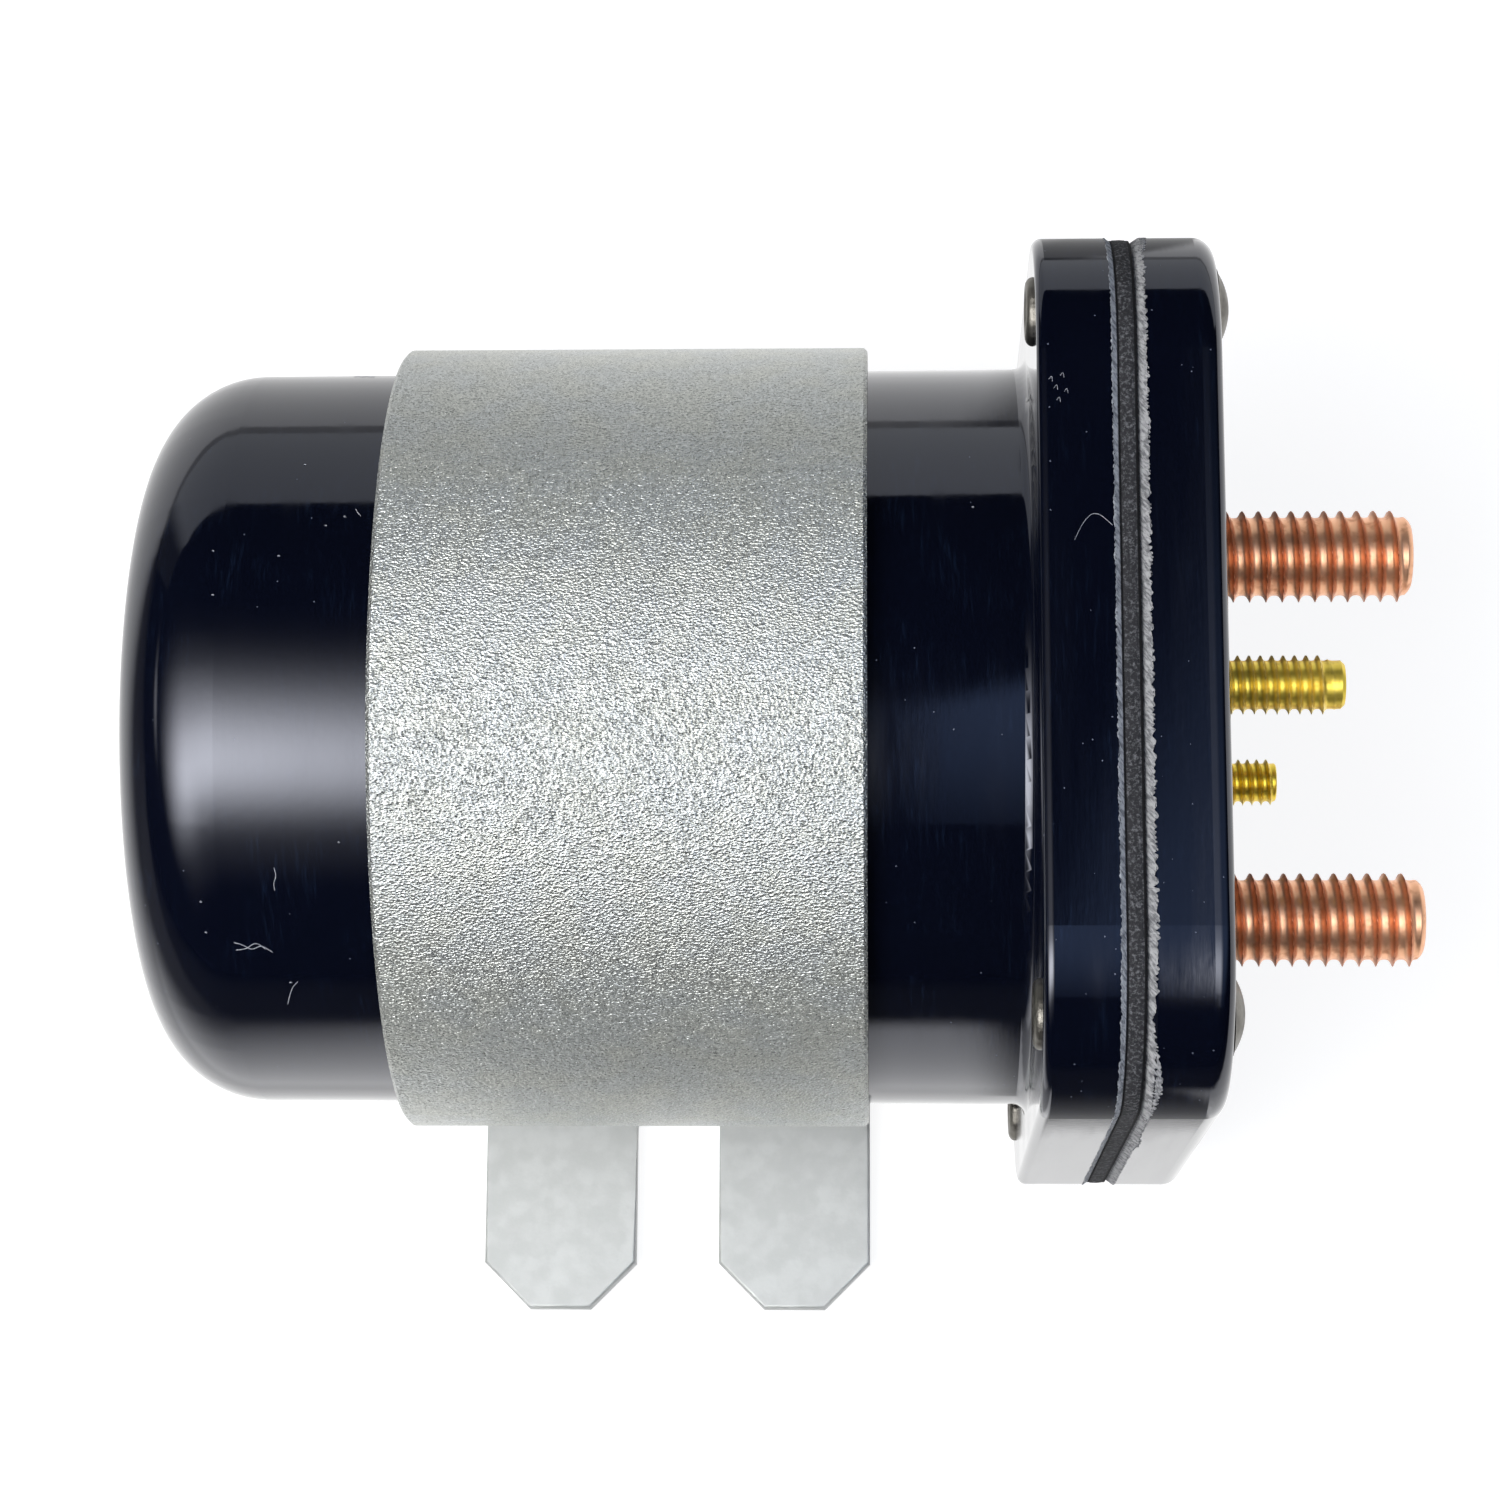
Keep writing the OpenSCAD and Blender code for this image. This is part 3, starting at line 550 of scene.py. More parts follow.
def slot_finishes(height: float) -> dict[Slot, Finish]:
    """Gives the finish of each slot of the record.

    Args:
        height: Height of the relay's axis in millimetres.

    Returns:
        The finishes by slot.
    """
    moulded = {"patch": Grain(4.0, 3.0, 0.55), "share": (0.35, 0.7, 0.0, 1.0), "marks": Grain(0.4, 2.0, 0.5),
               "depth": 0.006, "rough_by_marks": True, "metallic": 0.0}
    strands = Grain(0.25, 4.0, 0.7, (1.0, 0.25, 1.0))
    return {
        Slot.RIVET_STEEL: Mottled("rivet steel", (0.19, 0.18, 0.16), (0.05, 0.045, 0.04), marks=Grain(0.6),
                                  depth=0.06, rough=(0.36, 0.56)),
        Slot.WELD_STEEL: Mottled("weld steel", (0.32, 0.31, 0.3), (0.12, 0.09, 0.07), marks=Grain(0.6),
                                 depth=0.02, rough=(0.35, 0.6)),
        Slot.MAGNET_STEEL: Mottled("magnet steel"),
        Slot.SPRING_STEEL: Mottled("spring steel", (0.45, 0.45, 0.47), rough=(0.18, 0.3)),
        Slot.SILVER: Mottled("silver", (0.8, 0.8, 0.78), (0.6, 0.56, 0.48), rough=(0.2, 0.36)),
        Slot.MOULDED_BLACK: PolishedPhenolic("polished phenolic", height),
        Slot.GASKET_RUBBER: SpeckledRubber("gasket rubber"),
        Slot.BLASTED_STEEL: BlastedSteel("blasted steel"),
        Slot.ZINC_PLATE: Galvanised("galvanised plate"),
        Slot.COPPER: RolledThread("rolled copper", height),
        Slot.BRASS: RolledThread("rolled brass", height, crest_light_and_shade=(0.98, 0.80, 0.28), root_light_and_shade=(0.90, 0.66, 0.07),
                                 stain=(0.52, 0.34, 0.03), root_radius=1.85, crest_radius=2.35, fold_y=0.0,
                                 fold_z=18.5, polish=0.32),
        Slot.BUMPER_RUBBER: Mottled("bumper rubber", (0.04, 0.04, 0.04), (0.055, 0.055, 0.055),
                                    rough=(0.69, 0.83), **moulded),
        Slot.BOBBIN_NYLON: Mottled("bobbin nylon", (0.7, 0.66, 0.54), (0.6, 0.55, 0.42), rough=(0.39, 0.53),
                                   **moulded),
        Slot.ENAMELLED_WIRE: WoundWire("enamelled wire"),
        Slot.WINDING_TAPE: WovenTape("winding tape"),
        Slot.FIBRE_BOARD: Mottled("fibre board", (0.35, 0.2, 0.1), (0.5, 0.33, 0.19), patch=strands,
                                  share=(0.42, 0.68, 0.0, 1.0), marks=strands, depth=0.02, rough=(0.78, 0.78),
                                  metallic=0.0),
    }


# Mesh work


class MeshMaker:
    """Collects points and faces in millimetres and makes one piece of them."""

    def __init__(self) -> None:
        """Starts an empty mesh."""
        self.points: list[Point] = []
        self.faces: list[tuple[int, ...]] = []

    def ring(self, points: Sequence[Point]) -> list[int]:
        """Adds a row of points and returns their numbers."""
        start = len(self.points)
        self.points.extend(points)
        return list(range(start, len(self.points)))

    def bridge(self, first: Sequence[int], second: Sequence[int], closed: bool = True) -> None:
        """Joins two rows of points with quads.

        Args:
            first: Numbers of the first row.
            second: Numbers of the second row, as many as in the first.
            closed: Whether the rows run round in a loop.
        """
        count = len(first)
        for i in range(count if closed else count - 1):
            j = (i + 1) % count
            self.faces.append((first[i], first[j], second[j], second[i]))

    def cap(self, row: Sequence[int], centre: Point) -> None:
        """Closes a row of points with triangles to a point in its middle.

        Args:
            row: Numbers of the row's points.
            centre: Point in the middle.
        """
        middle = self.ring([centre])[0]
        for i, number in enumerate(row):
            self.faces.append((number, row[(i + 1) % len(row)], middle))

    def tube(self, rows: Sequence[Sequence[Point]], looped: bool = False) -> None:
        """Joins closed rows of points into a skin.

        Args:
            rows: Rows of points, each of which runs round in a loop.
            looped: Whether the last row joins the first, otherwise both ends are closed.
        """
        numbers = [self.ring(row) for row in rows]
        for first, second in zip(numbers, numbers[1:]):
            self.bridge(first, second)
        if looped:
            self.bridge(numbers[-1], numbers[0])
            return
        for row, points in ((numbers[0], rows[0]), (numbers[-1], rows[-1])):
            middle = tuple(sum(axis) / len(points) for axis in zip(*points))
            self.cap(row, middle)

    def publish(self, name: str, material: bpy.types.Material, body: Body,
                sharp: float = 40.0) -> bpy.types.Object:
        """Makes the piece and lets it ride on its body.

        Args:
            name: Name of the piece.
            material: Material of the piece.
            body: Body that carries it.
            sharp: Angle in degrees above which an edge stays sharp.

        Returns:
            The new object.
        """
        mesh = bpy.data.meshes.new(name)
        mesh.from_pydata([Vector(p) * MM for p in self.points], [], self.faces)
        work = bmesh.new()
        work.from_mesh(mesh)
        bmesh.ops.recalc_face_normals(work, faces=work.faces)
        work.to_mesh(mesh)
        work.free()
        return dress(mesh, name, material, body, sharp)


def dress(mesh: bpy.types.Mesh, name: str, material: bpy.types.Material, body: Body,
          sharp: float) -> bpy.types.Object:
    """Turns a mesh into a smooth shaded piece that rides on a body.

    Args:
        mesh: Finished mesh in metres.
        name: Name of the piece.
        material: Material of the piece.
        body: Body that carries it.
        sharp: Angle in degrees above which an edge stays sharp.

    Returns:
        The new object.
    """
    mesh.polygons.foreach_set("use_smooth", [True] * len(mesh.polygons))
    mesh.set_sharp_from_angle(angle=math.radians(sharp))
    mesh.materials.append(material)
    piece = bpy.data.objects.new(name, mesh)
    bpy.context.scene.collection.objects.link(piece)
    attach(piece, body.value)
    LOG.info("piece %s: %d faces", name, len(mesh.polygons))
    return piece


def arc(start: float, end: float, steps: int) -> list[float]:
    """Gives evenly spaced angles in radians between two in degrees, both ends included."""
    return [math.radians(start + (end - start) * i / steps) for i in range(steps + 1)]


def roughen(x: float, y: float, z: float, size: float) -> float:
    """Gives smooth noise from -1 to 1 at a point, with features of a size in millimetres."""
    return noise.noise(Vector((x / size, y / size, z / size)))


@dataclass
class Lathe:
    """Turns a profile about a line along X."""

    centre_y: float
    centre_z: float
    segments: int = 96

    def rows(self, stations: Sequence[tuple[float, float]],
             shape: Callable[[float, float, float], float] | None = None) -> list[list[Point]]:
        """Gives the rings of points of a turned shape.

        Args:
            stations: Place along X and radius of each ring.
            shape: Changes the radius by place, radius and angle.

        Returns:
            One row of points for each station.
        """
        made = []
        for x, radius in stations:
            row = []
            for i in range(self.segments):
                angle = 2 * math.pi * i / self.segments
                r = shape(x, radius, angle) if shape else radius
                row.append((x, self.centre_y + r * math.sin(angle), self.centre_z + r * math.cos(angle)))
            made.append(row)
        return made


@dataclass
class RoundedSquare:
    """Outline of the flange: a square with round corners in a plane across X."""

    side: float
    corner: float
    centre_z: float

    def length(self) -> float:
        """Gives the length of the outline."""
        return 4 * (self.side - 2 * self.corner) + 2 * math.pi * self.corner

    def at(self, run: float) -> tuple[float, float, float, float]:
        """Gives a point of the outline.

        Args:
            run: Distance along the outline from the middle of the top side, first towards the back.

        Returns:
            Y, Z and the two parts of the outward normal.
        """
        flat = self.side - 2 * self.corner
        bend = math.pi / 2 * self.corner
        run = (run + flat / 2) % self.length()
        quarter, rest = divmod(run, flat + bend)
        half = flat / 2
        if rest < flat:
            y, z, ny, nz = rest - half, half + self.corner, 0.0, 1.0
        else:
            turn = (rest - flat) / self.corner
            ny, nz = math.sin(turn), math.cos(turn)
            y, z = half + self.corner * ny, half + self.corner * nz
        for _ in range(int(quarter)):
            y, z, ny, nz = z, -y, nz, -ny
        return y, z + self.centre_z, ny, nz

    def sweep(self, step: float, section: Callable[[float, Point], Sequence[tuple[float, float]]]
              ) -> list[list[Point]]:
        """Carries a section round the outline.

        Args:
            step: Distance between two sections.
            section: Gives a closed section as pairs of X and distance inwards from the outline, from the
                run along the outline and the point there.

        Returns:
            One row of points for each section.
        """
        count = round(self.length() / step)
        made = []
        for i in range(count):
            run = i * self.length() / count
            y, z, ny, nz = self.at(run)
            made.append([(x, y - inward * ny, z - inward * nz) for x, inward in section(run, (0.0, y, z))])
        return made


# Sub-assemblies


@dataclass
class Bench:
    """What every sub-assembly works with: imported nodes, height of the axis, and materials."""

    nodes: dict[str, bpy.types.Object]
    axis_height: float
    slots: dict[Slot, bpy.types.Material] = field(init=False)
    ground: bpy.types.Material = field(init=False)
    ground_dull: bpy.types.Material = field(init=False)
    lint: bpy.types.Material = field(init=False)

    def __post_init__(self) -> None:
        """Mixes the materials of the slots and those of the trim."""
        self.slots = {slot: finish.build() for slot, finish in slot_finishes(self.axis_height).items()}
        self.ground = GroundPhenolic("ground phenolic", (0.38, 0.38, 0.385), (0.12, 0.122, 0.13)).build()
        self.ground_dull = GroundPhenolic("ground phenolic dull", (0.42, 0.435, 0.46),
                                          (0.14, 0.148, 0.165)).build()
        self.lint = Mottled("lint", (0.55, 0.56, 0.6), (0.38, 0.39, 0.43), patch=Grain(0.3, 2.0, 0.5),
                            share=(0.3, 0.7, 0.0, 1.0), depth=0.0, rough=(0.9, 0.9), metallic=0.0).build()

    def paint(self, slot: Slot, *names: str) -> None:
        """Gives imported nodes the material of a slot.

        Args:
            slot: Slot whose material they get.
            names: Names of the nodes.
        """
        for name in names:
            for place in self.nodes[name].material_slots:
                place.material = self.slots[slot]

    def stand_in(self, node: str, maker: MeshMaker, name: str, slot: Slot, body: Body = Body.HOUSING,
                 sharp: float = 40.0) -> bpy.types.Object:
        """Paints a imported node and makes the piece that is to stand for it.

        Args:
            node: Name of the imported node.
            maker: Mesh of the piece.
            name: Name of the piece.
            slot: Slot of both.
            body: Body that carries the piece.
            sharp: Angle in degrees above which an edge stays sharp.

        Returns:
            The piece.
        """
        self.paint(slot, node)
        return maker.publish(name, self.slots[slot], body, sharp)


@dataclass
class SubAssembly(ABC):
    """Pieces that are painted and built together."""

    bench: Bench

    @property
    def axis_height(self) -> float:
        """Gives the height of the relay's axis."""
        return self.bench.axis_height

    @abstractmethod
    def build(self) -> None:
        """Paints nodes and builds pieces."""


@dataclass
class Housing(SubAssembly):
    """Moulded can and cover with the gasket between them and the trimmed edges beside it."""

    side: float = 71.8
    corner: float = 13.0
    gasket_back: float = 39.1
    gasket_front: float = 40.6
    gasket_inset: float = 0.2
    flange_bevel: float = 0.4
    cover_bevel: float = 0.8
    skin: float = 0.22
    step: float = 0.07
    tooth: float = 0.58

    def build(self) -> None:
        """Paints the mouldings and adds the gasket's edge and both trimmed edges."""
        self.bench.paint(Slot.MOULDED_BLACK, "housing_can", "terminal_cover")
        self.bench.paint(Slot.GASKET_RUBBER, "flange_gasket")
        outline = RoundedSquare(self.side, self.corner, self.axis_height)
        edge = MeshMaker()
        edge.tube(outline.sweep(0.25, self.gasket_section), looped=True)
        edge.publish("gasket_edge", self.bench.slots[Slot.GASKET_RUBBER], Body.HOUSING)
        flange = MeshMaker()
        flange.tube(outline.sweep(self.step, self.flange_section), looped=True)
        flange.publish("flange_trimmed_edge", self.bench.ground_dull, Body.HOUSING, 70.0)
        cover = MeshMaker()
        cover.tube(outline.sweep(self.step, self.cover_section), looped=True)
        cover.publish("cover_trimmed_edge", self.bench.ground, Body.HOUSING, 70.0)

    def gasket_section(self, run: float, place: Point) -> list[tuple[float, float]]:
        """Gives the section of the gasket's cut edge.

        Args:
            run: Distance along the outline; not used.
            place: Point of the outline.

        Returns:
            Pairs of X and distance inwards.
        """
        back, front, skin = self.gasket_back + 0.02, self.gasket_front - 0.02, self.skin
        points = [(front, self.gasket_inset + skin), (back, self.gasket_inset + skin)]
        left = back + 0.05 + 0.03 * roughen(1.0, place[1], place[2], 1.1)
        right = front - 0.12 - 0.05 * roughen(7.0, place[1], place[2], 1.7)
        for i in range(9):
            share = i / 8
            x = left + (right - left) * share
            swell = 0.05 * math.sin(math.pi * share) + 0.03 * roughen(x, place[1], place[2], 0.5)
            lip = 0.14 if i in (0, 8) else 0.0
            points.append((x, self.gasket_inset + lip - swell))
        return points

    def flange_section(self, run: float, place: Point) -> list[tuple[float, float]]:
        """Gives the section of the can's trimmed edge.

        Args:
            run: Distance along the outline; not used.
            place: Point of the outline.

        Returns:
            Pairs of X and distance inwards.
        """
        width = self.flange_bevel + 0.04 + 0.12 * roughen(0.0, place[1], place[2], 0.24)
        width += 0.09 * roughen(5.0, place[1], place[2], 0.9)
        return self.strip(self.gasket_back, -1.0, width, self.flange_bevel, place, 0.012)

    def cover_section(self, run: float, place: Point) -> list[tuple[float, float]]:
        """Gives the section of the cover's trimmed edge, toothed and wider at two corners.

        Args:
            run: Distance along the outline.
            place: Point of the outline.

        Returns:
            Pairs of X and distance inwards.
        """
        quarter = RoundedSquare(self.side, self.corner, self.axis_height).length() / 4
        wide = 0.0
        for centre, reach, extra in ((0.57 * quarter, 4.0, 0.5), (3.45 * quarter, 3.4, 0.55),
                                      (3.54 * quarter, 2.5, -0.25), (3.1 * quarter, 3.0, 0.3)):
            wide += extra * math.exp(-((run - centre) / reach) ** 2)
        beat = (run + 1.5 * roughen(run, 0.0, 3.0, 1.9)) / self.tooth
        along = beat % 1.0
        tooth = min(1.0, max(0.0, min(along, 1.0 - along) * 4.0 - 0.2))
        size = 0.55 + 0.75 * roughen(math.floor(beat) * 1.7, 2.0, 5.0, 1.0)
        waver = 0.17 * roughen(9.0, place[1], place[2], 0.3)
        width = self.cover_bevel - 0.10 + wide + 0.26 * tooth * size + waver
        return self.strip(self.gasket_front, 1.0, width, self.cover_bevel, place, 0.06 * (1.0 - tooth))

    def strip(self, seat: float, way: float, width: float, bevel: float, place: Point, groove: float
              ) -> list[tuple[float, float]]:
        """Gives the section of a trimmed edge that lies on a moulding's bevel.

        Args:
            seat: X of the gasket's face.
            way: Direction away from the gasket, 1 or -1.
            width: Width of the edge here.
            bevel: Width of the moulding's bevel.
            place: Point of the outline.
            groove: Depth of the belt mark here.

        Returns:
            Pairs of X and distance inwards.
        """
        proud = 0.03
        points = []
        for i in range(7):
            share = i / 6
            reach = width * share
            inward = max(bevel - reach, 0.0) * 0.72 - proud + groove * math.sin(math.pi * share)
            inward -= 0.035 * roughen(reach, place[1] * 1.3, place[2] * 1.3, 0.25)
            points.append((seat + way * (reach + 0.02), inward))
        points.append((seat + way * (width + 0.03), max(bevel - width, 0.0) + 0.1))
        points.append((seat + way * 0.02, bevel + 0.25))
        return points


@dataclass
class Rivets(SubAssembly):
    """Four hollow rivets: low domed heads on the cover, rolled and slightly split ends on the flange."""

    pitch: float = 56.993
    flange_face: float = 32.8
    cover_face: float = 47.4
    shank: float = 2.0
    head: float = 3.3
    head_height: float = 1.1
    roll: float = 2.8
    roll_height: float = 0.6
    hollow: float = 1.3
    hollow_depth: float = 4.0

    def build(self) -> None:
        """Builds the rivets in place of their plain node."""
        maker = MeshMaker()
        for y in (-1, 1):
            for z in (-1, 1):
                seed = 10.0 * y + 3.0 * z
                lathe = Lathe(y * self.pitch / 2, self.axis_height + z * self.pitch / 2, 56)
                maker.tube(lathe.rows(self.stations(), lambda x, r, a, s=seed: self.worn(x, r, a, s)))
        piece = self.bench.stand_in("flange_rivets", maker, "rivets_rolled", Slot.RIVET_STEEL)
        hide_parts("flange_rivets")

    def stations(self) -> list[tuple[float, float]]:
        """Gives the rivet's profile from the bottom of its hollow to the top of its head."""
        floor = self.flange_face - self.roll_height + self.hollow_depth
        made = [(floor, 0.25), (floor, self.hollow - 0.15), (floor - 0.2, self.hollow)]
        made += [(self.flange_face + 0.4 * i, self.hollow) for i in (5, 3, 1)]
        middle = (self.hollow + self.roll) / 2
        half = (self.roll - self.hollow) / 2
        for angle in arc(0, 180, 12):
            rolled = self.flange_face - self.roll_height * math.sin(angle)
            made.append((rolled, middle - half * math.cos(angle)))
        made += [(self.flange_face + 0.05, self.roll - 0.1), (self.flange_face + 0.1, self.shank)]
        made += [(self.cover_face - 0.1, self.shank), (self.cover_face - 0.05, self.head - 0.1)]
        made.append((self.cover_face + 0.12, self.head))
        dome = (self.head ** 2 + self.head_height ** 2) / (2 * self.head_height)
        for i in range(1, 12):
            radius = self.head * (1 - i / 12)
            rise = self.head_height - dome + math.sqrt(dome ** 2 - radius ** 2)
            made.append((self.cover_face + max(rise, 0.12), radius))
        return made

    def worn(self, x: float, radius: float, angle: float, seed: float) -> float:
        """Gives the radius with the marks of the rolling tool.

        Args:
            x: Place along the rivet.
            radius: Radius of the clean shape.
            angle: Angle round the rivet.
            seed: Number that tells the rivets apart.

        Returns:
            The changed radius.
        """
        if x > self.flange_face + 0.3:
            return radius
        split = max(0.0, math.cos(5 * angle + seed) - 0.8) * 1.2
        ragged = 0.12 * roughen(math.cos(angle) * 3, math.sin(angle) * 3, seed, 0.8)
        share = (radius - self.hollow) / (self.roll - self.hollow)
        return radius + share * (ragged - 0.35 * split)


@dataclass
class ClampMount(SubAssembly):
    """Blasted clamp band on its welded mounting plate."""

    plate_top: float = 2.5
    band_radius: float = 33.3772
    half_width: float = 19.5
    half_middle: float = 28.0
    half_length: float = 46.3
    notch_left: float = -2.2
    notch_right: float = 5.5
    ear_left: float = -16.2
    chamfer: float = 4.2
    fillet: float = 1.2
    edge_round: float = 0.32
    weld_length: float = 11.0
    weld_y: float = 7.0
    weld_radius: float = 2.4

    def build(self) -> None:
        """Paints the band and builds the plate and the weld beads."""
        self.bench.paint(Slot.BLASTED_STEEL, "clamp_band")
        self.bench.paint(Slot.ZINC_PLATE, "mounting_plate")
        plate = self.plate()
        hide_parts("mounting_plate")
        maker = MeshMaker()
        for start in (-self.half_width, self.half_width - self.weld_length):
            for side in (-1, 1):
                maker.tube(self.bead(start, side))
        beads = self.bench.stand_in("weld_beads", maker, "weld_beads_rippled", Slot.WELD_STEEL)
        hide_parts("weld_beads")

    def corner_arc(self, x: float, y: float, start: float, end: float) -> list[tuple[float, float]]:
        """Gives the points of a fillet about a centre, between two angles in degrees."""
        return [(x + self.fillet * math.cos(a), y + self.fillet * math.sin(a)) for a in arc(start, end, 6)]

    def outline(self) -> list[tuple[float, float]]:
        """Gives the plate's outline, counter-clockwise."""
        top, shoulder, cut = self.half_length, self.half_length - self.chamfer, self.chamfer
        inner = self.half_middle + self.fillet
        half = [(self.half_width, shoulder), (self.half_width - cut, top), (self.notch_right + cut, top),
                (self.notch_right, shoulder)]
        half += self.corner_arc(self.notch_right - self.fillet, inner, 0, -90)
        half += self.corner_arc(self.notch_left + self.fillet, inner, -90, -180)
        half += [(self.notch_left, shoulder), (self.notch_left - cut, top), (self.ear_left + cut, top),
                 (self.ear_left, shoulder)]
        half += self.corner_arc(self.ear_left - self.fillet, inner, 0, -90)
        half.append((-self.half_width, self.half_middle))
        return half + [(x, -y) for x, y in reversed(half)]

    def plate(self) -> bpy.types.Object:
        """Builds the stamped plate with its rounded edges.

        Returns:
            The plate.
        """
        work = bmesh.new()
        low = [work.verts.new((x * MM, y * MM, 0.0)) for x, y in self.outline()]
        high = [work.verts.new((x * MM, y * MM, self.plate_top * MM)) for x, y in self.outline()]
        faces = [work.faces.new(list(reversed(low))), work.faces.new(high)]
        for i, vertex in enumerate(low):
            j = (i + 1) % len(low)
            work.faces.new((vertex, low[j], high[j], high[i]))
        rims = [edge for face in faces for edge in face.edges]
        bmesh.ops.bevel(work, geom=rims, offset=self.edge_round * MM, segments=3, profile=0.5, affect="EDGES")
        bmesh.ops.recalc_face_normals(work, faces=work.faces)
        mesh = bpy.data.meshes.new("stamped_plate")
        work.to_mesh(mesh)
        work.free()
        zinc = self.bench.slots[Slot.ZINC_PLATE]
        piece = dress(mesh, "stamped_plate", zinc, Body.HOUSING, 45.0)
        piece.modifiers.new("flat faces", "WEIGHTED_NORMAL").keep_sharp = True
        return piece

    def bead(self, start: float, side: int) -> list[list[Point]]:
        """Gives the rows of one weld bead.

        Args:
            start: X of its first end.
            side: 1 for the back, -1 for the front.

        Returns:
            One closed row of points for each section.
        """
        steps = 66
        rows = []
        for i in range(steps + 1):
            share = i / steps
            x = start + self.weld_length * share
            ripple = 0.13 * abs(math.sin(math.pi * x / 1.15)) + 0.06 * roughen(x, side * 5.0, 0.0, 1.4)
            swell = (self.weld_radius - 0.1) * min(1.0, 0.72 + 1.2 * math.sin(math.pi * share)) - ripple
            row = [(x, self.weld_y - 2.0, self.plate_top - 0.02)]
            for angle in arc(0, 90, 8):
                y = self.weld_y + swell * math.cos(angle)
                z = self.plate_top - 0.02 + swell * math.sin(angle)
                roof = self.axis_height - math.sqrt(self.band_radius ** 2 - y ** 2) + 0.03
                row.append((x, y, min(z, roof)))
            roof_y = self.weld_y - 2.0
            row.append((x, roof_y, self.axis_height - math.sqrt(self.band_radius ** 2 - roof_y ** 2) + 0.03))
            rows.append([(px, side * py, pz) for px, py, pz in row])
        return rows


@dataclass(frozen=True)
class Thread:
    """A rolled thread with thin crests and wide hollow roots; the power tells how wide."""

    pitch: float
    depth: float
    power: float = 3.0
    wear: float = 0.03

    def radius(self, x: float, limit: float, angle: float, major: float) -> float:
        """Gives the thread's radius at a point.

        Args:
            x: Place along the stud.
            limit: Radius of the blank there.
            angle: Angle round the stud.
            major: Radius over the thread.

        Returns:
            The radius.
        """
        floor = major - self.depth
        if limit <= floor:
            return limit
        phase = (x / self.pitch + angle / (2 * math.pi)) % 1.0
        rise = min(1.0, abs(2 * phase - 1) * 1.04) ** self.power
        ding = max(0.0, roughen(x, major * math.sin(angle), major * math.cos(angle), 1.3) - 0.35)
        return floor + (limit - floor) * rise - self.wear * 4 * ding * rise


@dataclass(frozen=True)
class Stud:
    """A headed stud along X, with its shoulder in the cover and its thread outside."""

    name: str
    node: str
    slot: Slot
    centre_y: float
    centre_z: float
    head_x: float
    head_t: float
    head_r: float
    shoulder_r: float
    shank_r: float
    tip: tuple[tuple[float, float], ...]
    thread: Thread
    cover_face: float = 47.4
    samples: int = 22
    segments: int = 84

    def stations(self) -> list[tuple[float, float]]:
        """Gives the blank's profile from the head's middle to the tip."""
        seat = self.head_x + self.head_t
        edge = 0.3
        made = [(self.head_x, 0.3), (self.head_x, self.head_r - edge)]
        for angle in arc(0, 90, 4)[1:]:
            station = self.head_x + edge * (1 - math.cos(angle))
            made.append((station, self.head_r - edge * (1 - math.sin(angle))))
        made += [(seat - 0.15, self.head_r), (seat, self.head_r - 0.15), (seat, self.shoulder_r)]
        made += [(self.cover_face - 0.15, self.shoulder_r), (self.cover_face, self.shoulder_r - 0.15)]
        made.append((self.cover_face + 0.01, self.shank_r))
        step = self.thread.pitch / self.samples
        corners = [(self.cover_face + 0.01, self.shank_r), *self.tip]
        for (x0, r0), (x1, r1) in zip(corners, corners[1:]):
            count = max(1, round(abs(x1 - x0) / step))
            made += [(x0 + (x1 - x0) * i / count, r0 + (r1 - r0) * i / count) for i in range(1, count + 1)]
        made += [(self.tip[-1][0] + 0.02, self.tip[-1][1] - 0.25), (self.tip[-1][0] - 0.1, 0.5)]
        return made

    def build(self, bench: Bench) -> None:
        """Builds the stud in place of its plain node.

        Args:
            bench: Nodes and materials.
        """
        maker = MeshMaker()
        maker.tube(Lathe(self.centre_y, self.centre_z, self.segments).rows(self.stations(), self.cut))
        piece = bench.stand_in(self.node, maker, self.name, self.slot, sharp=55.0)
        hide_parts(self.node)

    def cut(self, x: float, radius: float, angle: float) -> float:
        """Gives the radius with the thread cut into the blank outside the cover."""
        plain = x <= self.cover_face or radius > self.shank_r + 0.001
        return radius if plain else self.thread.radius(x, radius, angle, self.shank_r)


@dataclass
class Terminals(SubAssembly):
    """The two copper load studs and the two brass coil studs."""

    def studs(self) -> list[Stud]:
        """Gives the four studs."""
        height = self.axis_height
        coarse = Thread(pitch=1.411, depth=0.6)
        load = {"slot": Slot.COPPER, "head_x": 37.0, "head_t": 3.6, "head_r": 7.0, "shoulder_r": 4.6,
                "shank_r": 3.97, "tip": ((65.3, 3.97), (66.2, 3.1), (66.38, 2.8)), "thread": coarse}
        coil = {"slot": Slot.BRASS, "centre_y": 0.0, "head_x": 39.1, "head_t": 1.5, "head_r": 4.0,
                "shoulder_r": 3.0, "segments": 72}
        return [
            Stud("rear_load_thread", "rear_load_stud", centre_y=16.0, centre_z=height, **load),
            Stud("front_load_thread", "front_load_stud", centre_y=-16.0, centre_z=height, **load),
            Stud("upper_coil_thread", "upper_coil_stud", centre_z=height + 18.5, shank_r=2.41,
                 tip=((56.55, 2.41), (56.85, 2.02), (57.75, 2.0), (58.08, 1.7)),
                 thread=Thread(pitch=0.92, depth=0.44, wear=0.02), **coil),
            Stud("lower_coil_thread", "lower_coil_stud", centre_z=height - 18.5, shank_r=2.1,
                 tip=((55.8, 2.1), (56.28, 1.62)),
                 thread=Thread(pitch=0.83, depth=0.38, wear=0.02), **coil),
        ]

    def build(self) -> None:
        """Builds the four studs."""
        for stud in self.studs():
            stud.build(self.bench)


